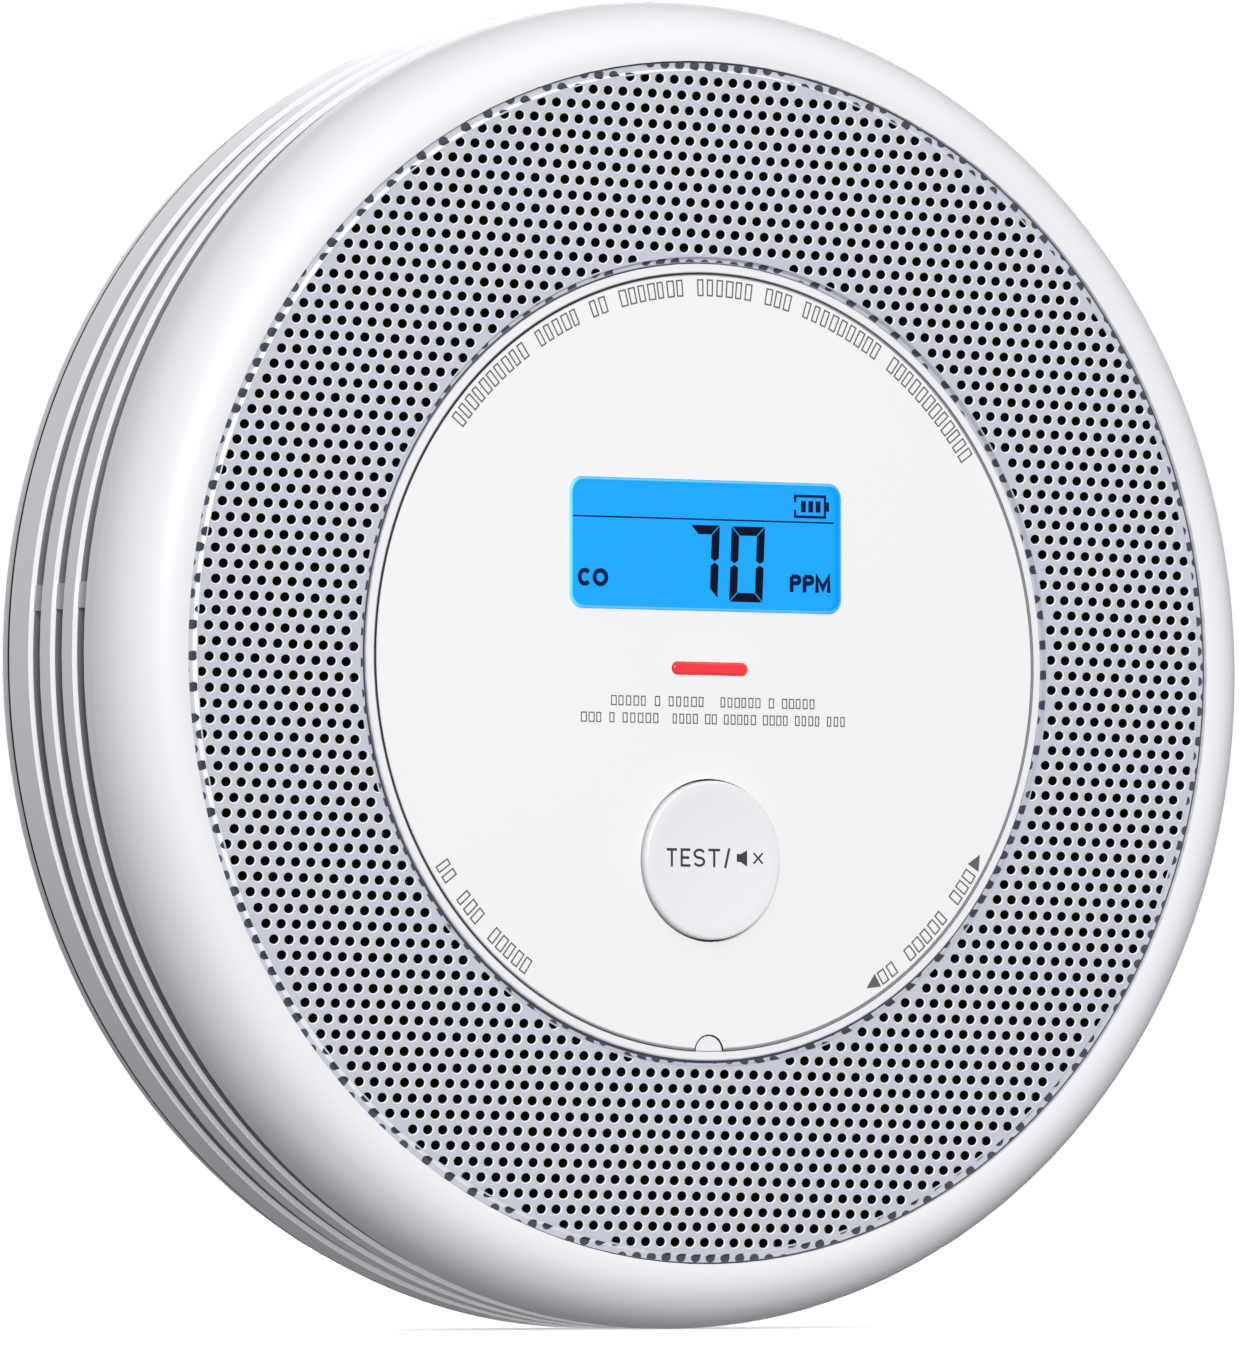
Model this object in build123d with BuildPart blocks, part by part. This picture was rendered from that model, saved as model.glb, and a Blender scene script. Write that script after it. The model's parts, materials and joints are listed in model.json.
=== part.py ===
from build123d import *
import math
import os

os.makedirs("parts", exist_ok=True)

# A round wall alarm. The wall is the plane Y = 0 and the alarm looks along -Y.
# Every "depth" below is a distance in millimetres out of the wall, along -Y.

# Shell
body_radius = 62.5
shell_back = 1.85
shell_edge_bevel = 0.3
wall_inner_radius = 60.5
shoulder_depth = 17.5
rim_centre_radius = 57.4
rim_half_width = body_radius - rim_centre_radius
rim_rise = 7.3
lip_radius = 56.4
face_depth = 24.62

# Side grooves and the slots in their floors
groove_pitch = 4.1
groove_first_depth = 6.75
groove_count = 3
groove_width = 2.2
groove_cut = 0.47
slot_inner_radius = wall_inner_radius - 0.4
web_count = 4
web_first_angle = 175.1
web_arc = 2.2
web_spacing = 360 / web_count

# Grille
grille_outer_radius = 56.3
grille_inner_radius = 37.45
grille_back = 23.0
field_outer_radius = 55.45
field_inner_radius = 38.25
band_drop = 0.42
hole_radius = 0.87
hole_pitch = 3.254
row_height = 2.864
row_shift = 1.538
rows_tilt = -0.87
first_hole = (0.35, 0.066)
hole_margin = 0.2

# Centre ring and disc
ring_outer_radius = 37.35
ring_inner_radius = 36.5
panel_radius = 36.3
panel_back = 22.6
ring_shelf_radius = 35.0
ring_shelf_back = 21.5
ring_shelf_front = panel_back - 0.1
ring_bevel = 0.12
tab_gap = 0.15
tab_radius = 1.45
tab_centre_z = -36.5

# Display
window_width = 30.0
window_height = 12.2
window_corner = 1.4
window_x = -0.3
window_z = 10.9
window_back = 23.3
window_front = 24.8

# Indicator bar
bar_length = 8.3
bar_height = 1.12
bar_x = 0.1
bar_z = -0.65
bar_front = 24.86

# Test button
button_radius = 7.45
button_gap = 0.2
button_x = 0.1
button_z = -18.6
button_front = 25.35
button_flange_radius = 8.6

# Circuit board
board_back = 5.2
board_thickness = 1.6
board_front = board_back + board_thickness
board_radius = 44.5
seat_gap = 0.02
lead_gap = 0.01
lead_thickness = 0.3

# Rear cover
cover_back = 1.85
cover_thickness = 1.6
cover_inside = cover_back + cover_thickness
cover_hub_radius = 46.6
cover_floor_back = 4.0
cover_floor_front = 5.4
cover_radius = 60.3

# Rating label and its recess in the rear cover
label_x = -15.0
label_width = 35.4
label_height = 43.4
label_corner = 1.8
label_thickness = 0.2
label_sink = 0.03
label_recess_width = 36.0
label_recess_height = 44.0
label_recess_corner = 2.0
label_recess_depth = 0.25

# Mounting plate and its bayonet
plate_radius = 62.0
plate_opening_radius = 47.2
plate_thickness = 1.6
hook_count = 3
hook_first_angle = 30.0
hook_arc = 6.9
hook_stem_inner = 49.0
hook_stem_outer = 51.0
hook_lip_outer = 53.6
hook_lip_back = 5.6
hook_front = 6.7
twist_angle = 12.0
hook_play = 0.3
hook_end_play = 0.9
wall_screw_x = 54.5
wall_slot_length = 8.0
wall_slot_width = 4.4

# Battery bay
bay_left = 16.9
bay_right = 38.7
bay_half_height = 19.4
bay_wall = 1.0
bay_roof = 0.7
bay_front = 21.4
hinge_well_front = 7.6
cell_bay_left = 20.9
cell_radius = 8.5
cell_x = 29.7
cell_depth = 12.15
cell_y = -cell_depth
cell_bottom = -17.2
cell_top = 16.2
door_left = 20.0
door_right = 39.85
door_half_height = 19.35
door_gap = 0.15
hinge_x = 18.5
hinge_depth = 3.2
hinge_y = -hinge_depth
hinge_radius = 1.3
hinge_pin_radius = 0.6
hinge_clearance = 0.05
barrel_half_length = 10.0
knuckle_start = 10.4
knuckle_end = 14.0

# Fasteners
boss_ring_radius = 56.8
boss_radius = 2.5
boss_count = 4
boss_first_angle = 45.0
boss_front = 21.2
boss_back = cover_floor_front + 0.1
boss_hole_radius = 1.2
boss_hole_front = 15.5
screw_shank_radius = 1.15
screw_end = 14.9
screw_head_radius = 2.5
screw_head_back = 2.4
screw_cross_length = 3.2
screw_cross_width = 0.6
screw_cross_depth = 0.8
board_screw_radius = 1.0
board_screw_end = 3.0
board_screw_head_radius = 2.1
board_screw_head_height = 1.4
board_screw_cross_length = 2.8

# How far a joined solid reaches into the next one, and a cut reaches past its part
overlap = 0.1
cut_margin = 0.1

# Two working planes: the radius-depth plane for turned shapes, and the axis that
# turns counter-clockwise when the alarm is seen from the front
profile_plane = Plane(origin=(0, 0, 0), x_dir=(1, 0, 0), z_dir=(0, 0, -1))
front_axis = Axis((0, 0, 0), (0, -1, 0))


def facing(depth):
    """Plane parallel to the wall, looking out of it."""
    return Plane.XZ.offset(depth)


def radial_plane(angle):
    """Radius-depth plane turned to an angle, counter-clockwise from +X."""
    turn = math.radians(angle)
    along = (math.cos(turn), 0, math.sin(turn))
    across = (math.sin(turn), 0, -math.cos(turn))
    return Plane(origin=(0, 0, 0), x_dir=along, z_dir=across)


def ring_box(inner, outer, back, front):
    """Rectangle in a radius-depth sketch."""
    with Locations(((inner + outer) / 2, (back + front) / 2)):
        Rectangle(outer - inner, front - back)


def save(builder, name):
    builder.part.label = name
    export_step(builder.part, f"parts/{name}.step")


web_angles = [web_first_angle + web_spacing * k for k in range(web_count)]
groove_depths = [groove_first_depth + groove_pitch * k for k in range(groove_count)]
hook_angles = [hook_first_angle + 360 / hook_count * k for k in range(hook_count)]

# Front cover: side wall, rounded rim, grille ledge, spokes and the centre ring
ledge_inner_radius = 54.9
ledge_front = 22.95
ledge_back = 20.9
inner_bevel_radius = 58.2
inner_shoulder_radius = 60.0
inner_shoulder_depth = 19.4
ring_flange_radius = 38.3
spoke_count = 4
spoke_first_angle = 45
spoke_width = 5.0
spoke_back = 19.6
spoke_front = 22.4
spoke_start = 35.6
spoke_end = 55.5
lip_swing = math.degrees(math.acos((lip_radius - rim_centre_radius) / rim_half_width))
lip_front = shoulder_depth + rim_rise * math.sin(math.radians(lip_swing))

with BuildPart() as front_cover:
    with BuildSketch(profile_plane):
        with BuildLine():
            Polyline(
                (lip_radius, lip_front),
                (lip_radius, ledge_front),
                (ledge_inner_radius, ledge_front),
                (ledge_inner_radius, ledge_back),
                (inner_bevel_radius, ledge_back),
                (inner_shoulder_radius, inner_shoulder_depth),
                (wall_inner_radius, shoulder_depth),
                (wall_inner_radius, shell_back),
                (body_radius - shell_edge_bevel, shell_back),
                (body_radius, shell_back + shell_edge_bevel),
                (body_radius, shoulder_depth),
            )
            EllipticalCenterArc(
                (rim_centre_radius, shoulder_depth),
                rim_half_width,
                rim_rise,
                start_angle=0,
                arc_size=lip_swing,
            )
        make_face()
        for depth in groove_depths:
            with Locations((body_radius, depth)):
                Rectangle(2 * groove_cut, groove_width, mode=Mode.SUBTRACT)
    revolve(axis=Axis.Y)
    with BuildSketch(profile_plane):
        with BuildLine():
            Polyline(
                (ring_shelf_radius, ring_shelf_back),
                (ring_flange_radius, ring_shelf_back),
                (ring_flange_radius, ledge_front),
                (ring_outer_radius, ledge_front),
                (ring_outer_radius, face_depth - ring_bevel),
                (ring_outer_radius - ring_bevel, face_depth),
                (ring_inner_radius + ring_bevel, face_depth),
                (ring_inner_radius, face_depth - ring_bevel),
                (ring_inner_radius, ring_shelf_front),
                (ring_shelf_radius, ring_shelf_front),
                close=True,
            )
        make_face()
    revolve(axis=Axis.Y)
    with BuildSketch(facing(ring_shelf_front)):
        with Locations((0, tab_centre_z)):
            Circle(tab_radius)
        Circle(ring_inner_radius + 0.3, mode=Mode.INTERSECT)
    extrude(amount=face_depth - ring_shelf_front)
    with BuildSketch(facing(spoke_back)):
        with PolarLocations((spoke_start + spoke_end) / 2, spoke_count, spoke_first_angle):
            Rectangle(spoke_end - spoke_start, spoke_width)
        Circle(ring_shelf_radius + 0.2, mode=Mode.SUBTRACT)
    extrude(amount=spoke_front - spoke_back)
    with BuildSketch(facing(boss_back)):
        with PolarLocations(boss_ring_radius, boss_count, boss_first_angle):
            Circle(boss_radius)
    extrude(amount=boss_front - boss_back)
    for angle in web_angles:
        with BuildSketch(radial_plane(angle + web_arc / 2)):
            for depth in groove_depths:
                slot_back = depth - groove_width / 2
                ring_box(slot_inner_radius, body_radius, slot_back, slot_back + groove_width)
        revolve(
            axis=front_axis,
            revolution_arc=web_spacing - web_arc,
            mode=Mode.SUBTRACT,
        )
    with BuildSketch(facing(boss_back)):
        with PolarLocations(boss_ring_radius, boss_count, boss_first_angle):
            Circle(boss_hole_radius)
    extrude(amount=boss_hole_front - boss_back, mode=Mode.SUBTRACT)
save(front_cover, "front_cover")

# Grille: an annular plate with staggered rows of round holes and two stepped-down
# edges. Each hole stands for four of the real, finer ones, with the same open share.
# The face is built from its wires, which is much quicker than hundreds of cuts.
row_reach = int(grille_outer_radius / row_height) + 1
column_reach = int(grille_outer_radius / hole_pitch) + 1
hole_low = field_inner_radius + hole_margin + hole_radius
hole_high = field_outer_radius - hole_margin - hole_radius
rows_turn = math.radians(rows_tilt)
grille_plane = Plane(
    origin=(0, -grille_back, 0),
    x_dir=(math.cos(rows_turn), 0, math.sin(rows_turn)),
    z_dir=(0, -1, 0),
)
hole_wires = []
for row in range(-row_reach, row_reach + 1):
    row_start = first_hole[0] + (row * row_shift) % hole_pitch
    hole_v = first_hole[1] + row * row_height
    for column in range(-column_reach, column_reach + 1):
        hole_u = row_start + column * hole_pitch
        if hole_low <= math.hypot(hole_u, hole_v) <= hole_high:
            hole_centre = grille_plane.from_local_coords((hole_u, hole_v, 0))
            hole_plane = Plane(hole_centre, grille_plane.x_dir, grille_plane.z_dir)
            hole_wires.append(Wire.make_circle(hole_radius, hole_plane))
hub_wire = Wire.make_circle(grille_inner_radius, grille_plane)
grille_face = Face(Wire.make_circle(grille_outer_radius, grille_plane), [hub_wire] + hole_wires)

with BuildPart() as grille:
    extrude(
        to_extrude=grille_face,
        amount=face_depth - grille_back,
        dir=grille_plane.z_dir,
        clean=False,
    )
    with BuildSketch(facing(face_depth - band_drop)):
        Circle(grille_outer_radius + 1)
        Circle(field_outer_radius, mode=Mode.SUBTRACT)
        Circle(field_inner_radius)
        Circle(grille_inner_radius - 1, mode=Mode.SUBTRACT)
    extrude(amount=2 * band_drop, mode=Mode.SUBTRACT, clean=False)
save(grille, "grille")

# Dust mesh: a thin dark sheet behind the grille
mesh_back = 22.5
mesh_outer_radius = 54.7
mesh_inner_radius = 38.5
mesh_thickness = 0.35
with BuildPart() as dust_mesh:
    with BuildSketch(facing(mesh_back)):
        Circle(mesh_outer_radius)
        Circle(mesh_inner_radius, mode=Mode.SUBTRACT)
    extrude(amount=mesh_thickness)
save(dust_mesh, "dust_mesh")

# Vent screens: thin curved strips behind the side slots, one between each pair of webs
screen_end_gap = 1.5
screen_back = 5.6
screen_front = 17.0
screen_outer_radius = wall_inner_radius - 0.05
screen_inner_radius = screen_outer_radius - 0.5
with BuildPart() as vent_screens:
    for angle in web_angles:
        with BuildSketch(radial_plane(angle + screen_end_gap)):
            ring_box(screen_inner_radius, screen_outer_radius, screen_back, screen_front)
        revolve(axis=front_axis, revolution_arc=web_spacing - 2 * screen_end_gap)
save(vent_screens, "vent_screens")

# Face panel: the centre disc with its window, bar slot, button hole and tab notch
window_play = 0.1
bar_play = 0.12
panel_bevel = 0.12
pocket_width = 34.0
pocket_height = 16.2
pocket_front = 23.25
with BuildPart() as face_panel:
    with BuildSketch(facing(panel_back)):
        Circle(panel_radius)
        with Locations((0, tab_centre_z)):
            Circle(tab_radius + tab_gap, mode=Mode.SUBTRACT)
        with Locations((window_x, window_z)):
            RectangleRounded(
                window_width + window_play,
                window_height + window_play,
                window_corner,
                mode=Mode.SUBTRACT,
            )
        with Locations((bar_x, bar_z)):
            SlotOverall(bar_length + bar_play, bar_height + bar_play, mode=Mode.SUBTRACT)
        with Locations((button_x, button_z)):
            Circle(button_radius + button_gap, mode=Mode.SUBTRACT)
    extrude(amount=face_depth - panel_back)
    with BuildSketch(facing(panel_back)):
        with Locations((window_x, window_z)):
            Rectangle(pocket_width, pocket_height)
    extrude(amount=pocket_front - panel_back, mode=Mode.SUBTRACT)
    front_rims = face_panel.faces().sort_by(Axis.Y)[0].outer_wire().edges()
    chamfer(front_rims.filter_by(GeomType.CIRCLE).sort_by(SortBy.LENGTH)[-1], panel_bevel)
save(face_panel, "face_panel")

# Display window: a clear block with a softened front edge
window_edge_fillet = 0.3
with BuildPart() as lcd_window:
    with BuildSketch(facing(window_back)):
        with Locations((window_x, window_z)):
            RectangleRounded(window_width, window_height, window_corner)
    extrude(amount=window_front - window_back)
    fillet(lcd_window.faces().sort_by(Axis.Y)[0].edges(), window_edge_fillet)
save(lcd_window, "lcd_window")

# Display cell: two glass plates, the rear one longer to carry the contacts
glass_width = 33.4
glass_thickness = 0.55
rear_glass_back = 22.05
rear_glass_height = 15.4
rear_glass_z = window_z - 0.3
front_glass_back = 22.6
front_glass_height = 13.8
front_glass_z = window_z + 0.5
with BuildPart() as lcd_glass:
    with BuildSketch(facing(rear_glass_back)):
        with Locations((window_x, rear_glass_z)):
            Rectangle(glass_width, rear_glass_height)
    extrude(amount=glass_thickness)
    with BuildSketch(facing(front_glass_back)):
        with Locations((window_x, front_glass_z)):
            Rectangle(glass_width, front_glass_height)
    extrude(amount=glass_thickness)
save(lcd_glass, "lcd_glass")

# Backlight: a light guide with a lamp foot at its left end
guide_width = 31.6
guide_height = 12.6
guide_corner = 0.5
guide_z = window_z + 0.7
guide_back = 20.0
guide_thickness = 2.0
foot_width = 2.4
foot_height = 8.0
foot_x = window_x - 14.0
foot_back = 18.6
with BuildPart() as lcd_backlight:
    with BuildSketch(facing(guide_back)):
        with Locations((window_x, guide_z)):
            RectangleRounded(guide_width, guide_height, guide_corner)
    extrude(amount=guide_thickness)
    with BuildSketch(facing(foot_back)):
        with Locations((foot_x, guide_z)):
            Rectangle(foot_width, foot_height)
    extrude(amount=guide_back - foot_back)
save(lcd_backlight, "lcd_backlight")

# Display holder: a tray on four legs that stands on the circuit board
holder_width = 34.4
holder_height = 14.8
holder_corner = 0.8
holder_z = window_z + 0.9
holder_back = foot_back
holder_front = 22.0
tray_play = 0.2
tray_floor = guide_back - 0.05
foot_play = 0.4
leg_width = 2.6
leg_corner = 0.4
leg_inset_x = 6.5
leg_inset_z = 3.0
leg_front = holder_back + 0.2
rail_width = holder_width - 4.0
rail_height = 1.2
rail_z = holder_z + holder_height / 2 - 1.4
rail_back = 14.0
rail_thickness = 2.0
with BuildPart() as lcd_holder:
    with BuildSketch(facing(holder_back)):
        with Locations((window_x, holder_z)):
            RectangleRounded(holder_width, holder_height, holder_corner)
    extrude(amount=holder_front - holder_back)
    with BuildSketch(facing(tray_floor)):
        with Locations((window_x, guide_z)):
            RectangleRounded(guide_width + tray_play, guide_height + tray_play, guide_corner)
    extrude(amount=holder_front + cut_margin - tray_floor, mode=Mode.SUBTRACT)
    with BuildSketch(facing(holder_back - cut_margin)):
        with Locations((foot_x, guide_z)):
            Rectangle(foot_width + foot_play, foot_height + foot_play)
    extrude(amount=guide_back + cut_margin - holder_back, mode=Mode.SUBTRACT)
    with BuildSketch(facing(board_front + seat_gap)):
        with Locations((window_x, holder_z)):
            with GridLocations(holder_width - leg_inset_x, holder_height - leg_inset_z, 2, 2):
                RectangleRounded(leg_width, leg_width, leg_corner)
    extrude(amount=leg_front - board_front)
    with BuildSketch(facing(rail_back)):
        with Locations((window_x, rail_z)):
            Rectangle(rail_width, rail_height)
    extrude(amount=rail_thickness)
save(lcd_holder, "lcd_holder")

# Display contacts: a row of straight pins from the board to the rear glass
pin_count = 12
pin_pitch = 2.54
pin_radius = 0.25
pin_row_z = 3.7
pin_front = 22.0
with BuildPart() as lcd_pins:
    with BuildSketch(facing(board_front + seat_gap)):
        with Locations((window_x, pin_row_z)):
            with GridLocations(pin_pitch, 1, pin_count, 1):
                Circle(pin_radius)
    extrude(amount=pin_front - board_front)
save(lcd_pins, "lcd_pins")

# Light pipe: the red bar in the panel, with a shoulder and a stem over the lamps
pipe_stem_length = 7.4
pipe_stem_height = 1.0
pipe_stem_back = 8.2
pipe_shoulder_margin = 1.4
pipe_shoulder_back = 21.7
pipe_shoulder_front = 22.5
bar_fillet = 0.22
with BuildPart() as light_pipe:
    with BuildSketch(facing(pipe_stem_back)):
        with Locations((bar_x, bar_z)):
            SlotOverall(pipe_stem_length, pipe_stem_height)
    extrude(amount=pipe_shoulder_back + overlap - pipe_stem_back)
    with BuildSketch(facing(pipe_shoulder_back)):
        with Locations((bar_x, bar_z)):
            SlotOverall(bar_length + pipe_shoulder_margin, bar_height + pipe_shoulder_margin)
    extrude(amount=pipe_shoulder_front - pipe_shoulder_back)
    with BuildSketch(facing(pipe_shoulder_front)):
        with Locations((bar_x, bar_z)):
            SlotOverall(bar_length, bar_height)
    extrude(amount=bar_front - pipe_shoulder_front)
    fillet(light_pipe.faces().sort_by(Axis.Y)[0].edges(), bar_fillet)
save(light_pipe, "light_pipe")

# Status lamps: three small chips on the board, under the light pipe
led_count = 3
led_pitch = 2.5
led_length = 1.6
led_width = 0.9
led_height = 0.75
with BuildPart() as status_leds:
    with BuildSketch(facing(board_front + lead_gap)):
        with Locations((bar_x, bar_z)):
            with GridLocations(led_pitch, 1, led_count, 1):
                Rectangle(led_length, led_width)
    extrude(amount=led_height)
save(status_leds, "status_leds")

# Test button: dished cap with a retaining flange and a stem down to the switch
flange_back = 21.2
flange_front = 22.3
button_fillet = 0.3
stem_radius = 2.2
stem_tip = 11.7
rib_back = 16.0
rib_length = 9.0
rib_width = 1.2
dish_drop = 0.35
dish_edge = button_radius - 0.9
with BuildPart() as test_button:
    with BuildSketch(facing(flange_back)):
        with Locations((button_x, button_z)):
            Circle(button_flange_radius)
    extrude(amount=flange_front - flange_back)
    with BuildSketch(facing(flange_front)):
        with Locations((button_x, button_z)):
            Circle(button_radius)
    extrude(amount=button_front - flange_front)
    fillet(test_button.faces().sort_by(Axis.Y)[0].edges(), button_fillet)
    dish_plane = Plane(origin=(button_x, -button_front, button_z), x_dir=(1, 0, 0), z_dir=(0, 0, -1))
    with BuildSketch(dish_plane):
        with BuildLine():
            ThreePointArc((0, -dish_drop), (dish_edge / 2, -dish_drop * 0.75), (dish_edge, 0))
            Polyline((dish_edge, 0), (dish_edge, 1), (0, 1), (0, -dish_drop))
        make_face()
    revolve(axis=Axis((button_x, 0, button_z), (0, -1, 0)), mode=Mode.SUBTRACT)
    with BuildSketch(facing(stem_tip)):
        with Locations((button_x, button_z)):
            Circle(stem_radius)
    extrude(amount=flange_back + overlap - stem_tip)
    with BuildSketch(facing(rib_back)):
        with Locations((button_x, button_z)):
            Rectangle(rib_length, rib_width)
            Rectangle(rib_width, rib_length)
    extrude(amount=flange_back + overlap - rib_back)
save(test_button, "test_button")

# Tactile switch and its own plunger
switch_width = 6.2
switch_corner = 0.5
switch_height = 3.5
switch_leg_length = 2.0
switch_leg_width = 0.7
switch_leg_x = 8.0
switch_leg_z = 4.5
plunger_radius = 1.75
plunger_play = 0.05
plunger_well_back = 8.3
plunger_well_depth = 3.0
plunger_back = 9.2
plunger_length = 2.48
plunger_fillet = 0.2
with BuildPart() as tact_switch:
    with BuildSketch(facing(board_front + lead_gap)):
        with Locations((button_x, button_z)):
            RectangleRounded(switch_width, switch_width, switch_corner)
    extrude(amount=switch_height)
    with BuildSketch(facing(plunger_well_back)):
        with Locations((button_x, button_z)):
            Circle(plunger_radius + plunger_play)
    extrude(amount=plunger_well_depth, mode=Mode.SUBTRACT)
    with BuildSketch(facing(board_front + lead_gap)):
        with Locations((button_x, button_z)):
            with GridLocations(switch_leg_x, switch_leg_z, 2, 2):
                Rectangle(switch_leg_length, switch_leg_width)
    extrude(amount=lead_thickness)
save(tact_switch, "tact_switch")

with BuildPart() as tact_plunger:
    with BuildSketch(facing(plunger_back)):
        with Locations((button_x, button_z)):
            Circle(plunger_radius)
    extrude(amount=plunger_length)
    fillet(tact_plunger.faces().sort_by(Axis.Y)[0].edges(), plunger_fillet)
save(tact_plunger, "tact_plunger")

# Circuit board: a disc cut away round the battery bay
board_posts = [(-40.0, 10.0), (10.0, -41.0), (-17.0, 39.0)]
board_hole_radius = 1.3
board_cut_left = bay_left - 1.4
board_cut_right = board_radius + 2.0
board_cut_height = 42.0
with BuildPart() as circuit_board:
    with BuildSketch(facing(board_back)):
        Circle(board_radius)
        with Locations(((board_cut_left + board_cut_right) / 2, 0)):
            Rectangle(board_cut_right - board_cut_left, board_cut_height, mode=Mode.SUBTRACT)
        with Locations(*board_posts):
            Circle(board_hole_radius, mode=Mode.SUBTRACT)
    extrude(amount=board_thickness)
save(circuit_board, "circuit_board")

# Chips and other small parts on the board
chip_lift = 0.15
controller_place = (11.5, -30.0)
controller_width = 9.0
controller_height = 1.3
controller_bevel = 0.2
controller_lead_count = 8
controller_lead_pitch = 0.9
controller_lead_spread = 10.0
controller_lead_length = 1.4
controller_lead_width = 0.4
with BuildPart() as microcontroller:
    with BuildSketch(facing(board_front + chip_lift)):
        with Locations(controller_place):
            Rectangle(controller_width, controller_width)
    extrude(amount=controller_height)
    chamfer(microcontroller.faces().sort_by(Axis.Y)[0].edges(), controller_bevel)
    with BuildSketch(facing(board_front + lead_gap)):
        with Locations(controller_place):
            with GridLocations(controller_lead_pitch, controller_lead_spread, controller_lead_count, 2):
                Rectangle(controller_lead_width, controller_lead_length)
            with GridLocations(controller_lead_spread, controller_lead_pitch, 2, controller_lead_count):
                Rectangle(controller_lead_length, controller_lead_width)
    extrude(amount=lead_thickness)
save(microcontroller, "microcontroller")

chip_places = [(-8.0, -40.0), (-36.0, 22.0), (16.0, 28.0)]
chip_length = 4.9
chip_width = 3.9
chip_height = 1.4
chip_lead_count = 4
chip_lead_pitch = 1.27
chip_lead_spread = 4.6
chip_lead_length = 1.6
chip_lead_width = 0.45
with BuildPart() as interface_chips:
    with BuildSketch(facing(board_front + chip_lift)):
        with Locations(*chip_places):
            Rectangle(chip_length, chip_width)
    extrude(amount=chip_height)
    with BuildSketch(facing(board_front + lead_gap)):
        for place in chip_places:
            with Locations(place):
                with GridLocations(chip_lead_pitch, chip_lead_spread, chip_lead_count, 2):
                    Rectangle(chip_lead_width, chip_lead_length)
    extrude(amount=lead_thickness)
save(interface_chips, "interface_chips")

capacitor_place = (-11.5, -31.0)
capacitor_radius = 4.0
capacitor_height = 11.0
capacitor_fillet = 0.5
with BuildPart() as storage_capacitor:
    with BuildSketch(facing(board_front + seat_gap)):
        with Locations(capacitor_place):
            Circle(capacitor_radius)
    extrude(amount=capacitor_height)
    fillet(storage_capacitor.edges().filter_by(GeomType.CIRCLE), capacitor_fillet)
save(storage_capacitor, "storage_capacitor")

# Coil: a core between two flanges, each as (lift from the board, radius, thickness)
coil_place = (-27.0, 7.0)
coil_stages = ((seat_gap, 3.4, 0.8), (0.5, 2.3, 3.0), (3.2, 3.4, 0.8))
with BuildPart() as power_coil:
    for lift, radius, thickness in coil_stages:
        with BuildSketch(facing(board_front + lift)):
            with Locations(coil_place):
                Circle(radius)
        extrude(amount=thickness)
save(power_coil, "power_coil")

# Gas sensor: can, gasket, sensing cap with its inlet, and a filter disc
sensor_x = -33.0
sensor_z = -12.0
sensor_radius = 9.7
can_lift = 0.3
can_length = 11.2
can_pin_count = 3
can_pin_ring = 6.75
can_pin_radius = 0.75
can_pin_length = 0.4
gasket_back = 18.35
gasket_thickness = 0.8
gasket_margin = 0.2
gasket_width = 2.2
cap_back = 19.2
cap_thickness = 1.6
cap_bevel = 0.4
inlet_radius = 1.6
filter_back = 20.85
filter_radius = 4.5
filter_thickness = 0.35
with BuildPart() as co_sensor:
    with BuildSketch(facing(board_front + can_lift)):
        with Locations((sensor_x, sensor_z)):
            Circle(sensor_radius)
    extrude(amount=can_length)
    with BuildSketch(facing(board_front + seat_gap)):
        with Locations((sensor_x, sensor_z)):
            with PolarLocations(can_pin_ring, can_pin_count, 90):
                Circle(can_pin_radius)
    extrude(amount=can_pin_length)
save(co_sensor, "co_sensor")

with BuildPart() as sensor_gasket:
    with BuildSketch(facing(gasket_back)):
        with Locations((sensor_x, sensor_z)):
            Circle(sensor_radius + gasket_margin)
            Circle(sensor_radius + gasket_margin - gasket_width, mode=Mode.SUBTRACT)
    extrude(amount=gasket_thickness)
save(sensor_gasket, "sensor_gasket")

with BuildPart() as sensor_cap:
    with BuildSketch(facing(cap_back)):
        with Locations((sensor_x, sensor_z)):
            Circle(sensor_radius)
    extrude(amount=cap_thickness)
    chamfer(sensor_cap.faces().sort_by(Axis.Y)[0].edges(), cap_bevel)
    with BuildSketch(facing(cap_back - cut_margin)):
        with Locations((sensor_x, sensor_z)):
            Circle(inlet_radius)
    extrude(amount=cap_thickness + 2 * cut_margin, mode=Mode.SUBTRACT)
save(sensor_cap, "sensor_cap")

with BuildPart() as sensor_filter:
    with BuildSketch(facing(filter_back)):
        with Locations((sensor_x, sensor_z)):
            Circle(filter_radius)
    extrude(amount=filter_thickness)
save(sensor_filter, "sensor_filter")

# Horn: holder, contact springs, brass disc, ceramic layer and resonator cover
horn_z = 36.0
horn_radius = 12.2
horn_wall = 1.4
horn_holder_height = 7.2
spring_x = 4.0
spring_z = horn_z - 3.0
spring_radius = 0.6
disc_back = board_front + 7.25
disc_radius = horn_radius - 0.6
disc_thickness = 0.25
ceramic_back = board_front + 7.51
ceramic_radius = horn_radius - 3.8
ceramic_thickness = 0.2
horn_cover_back = board_front + 7.55
horn_cover_front = horn_cover_back + 6.6
horn_roof_back = board_front + 12.9
horn_mouth_radius = 3.0
horn_fillet = 0.8
with BuildPart() as horn_holder:
    with BuildSketch(facing(board_front + seat_gap)):
        with Locations((0, horn_z)):
            Circle(horn_radius)
            Circle(horn_radius - horn_wall, mode=Mode.SUBTRACT)
    extrude(amount=horn_holder_height)
save(horn_holder, "horn_holder")

with BuildPart() as horn_springs:
    with BuildSketch(facing(board_front + seat_gap)):
        with Locations((-spring_x, spring_z), (spring_x, spring_z)):
            Circle(spring_radius)
    extrude(amount=horn_holder_height)
save(horn_springs, "horn_springs")

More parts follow.
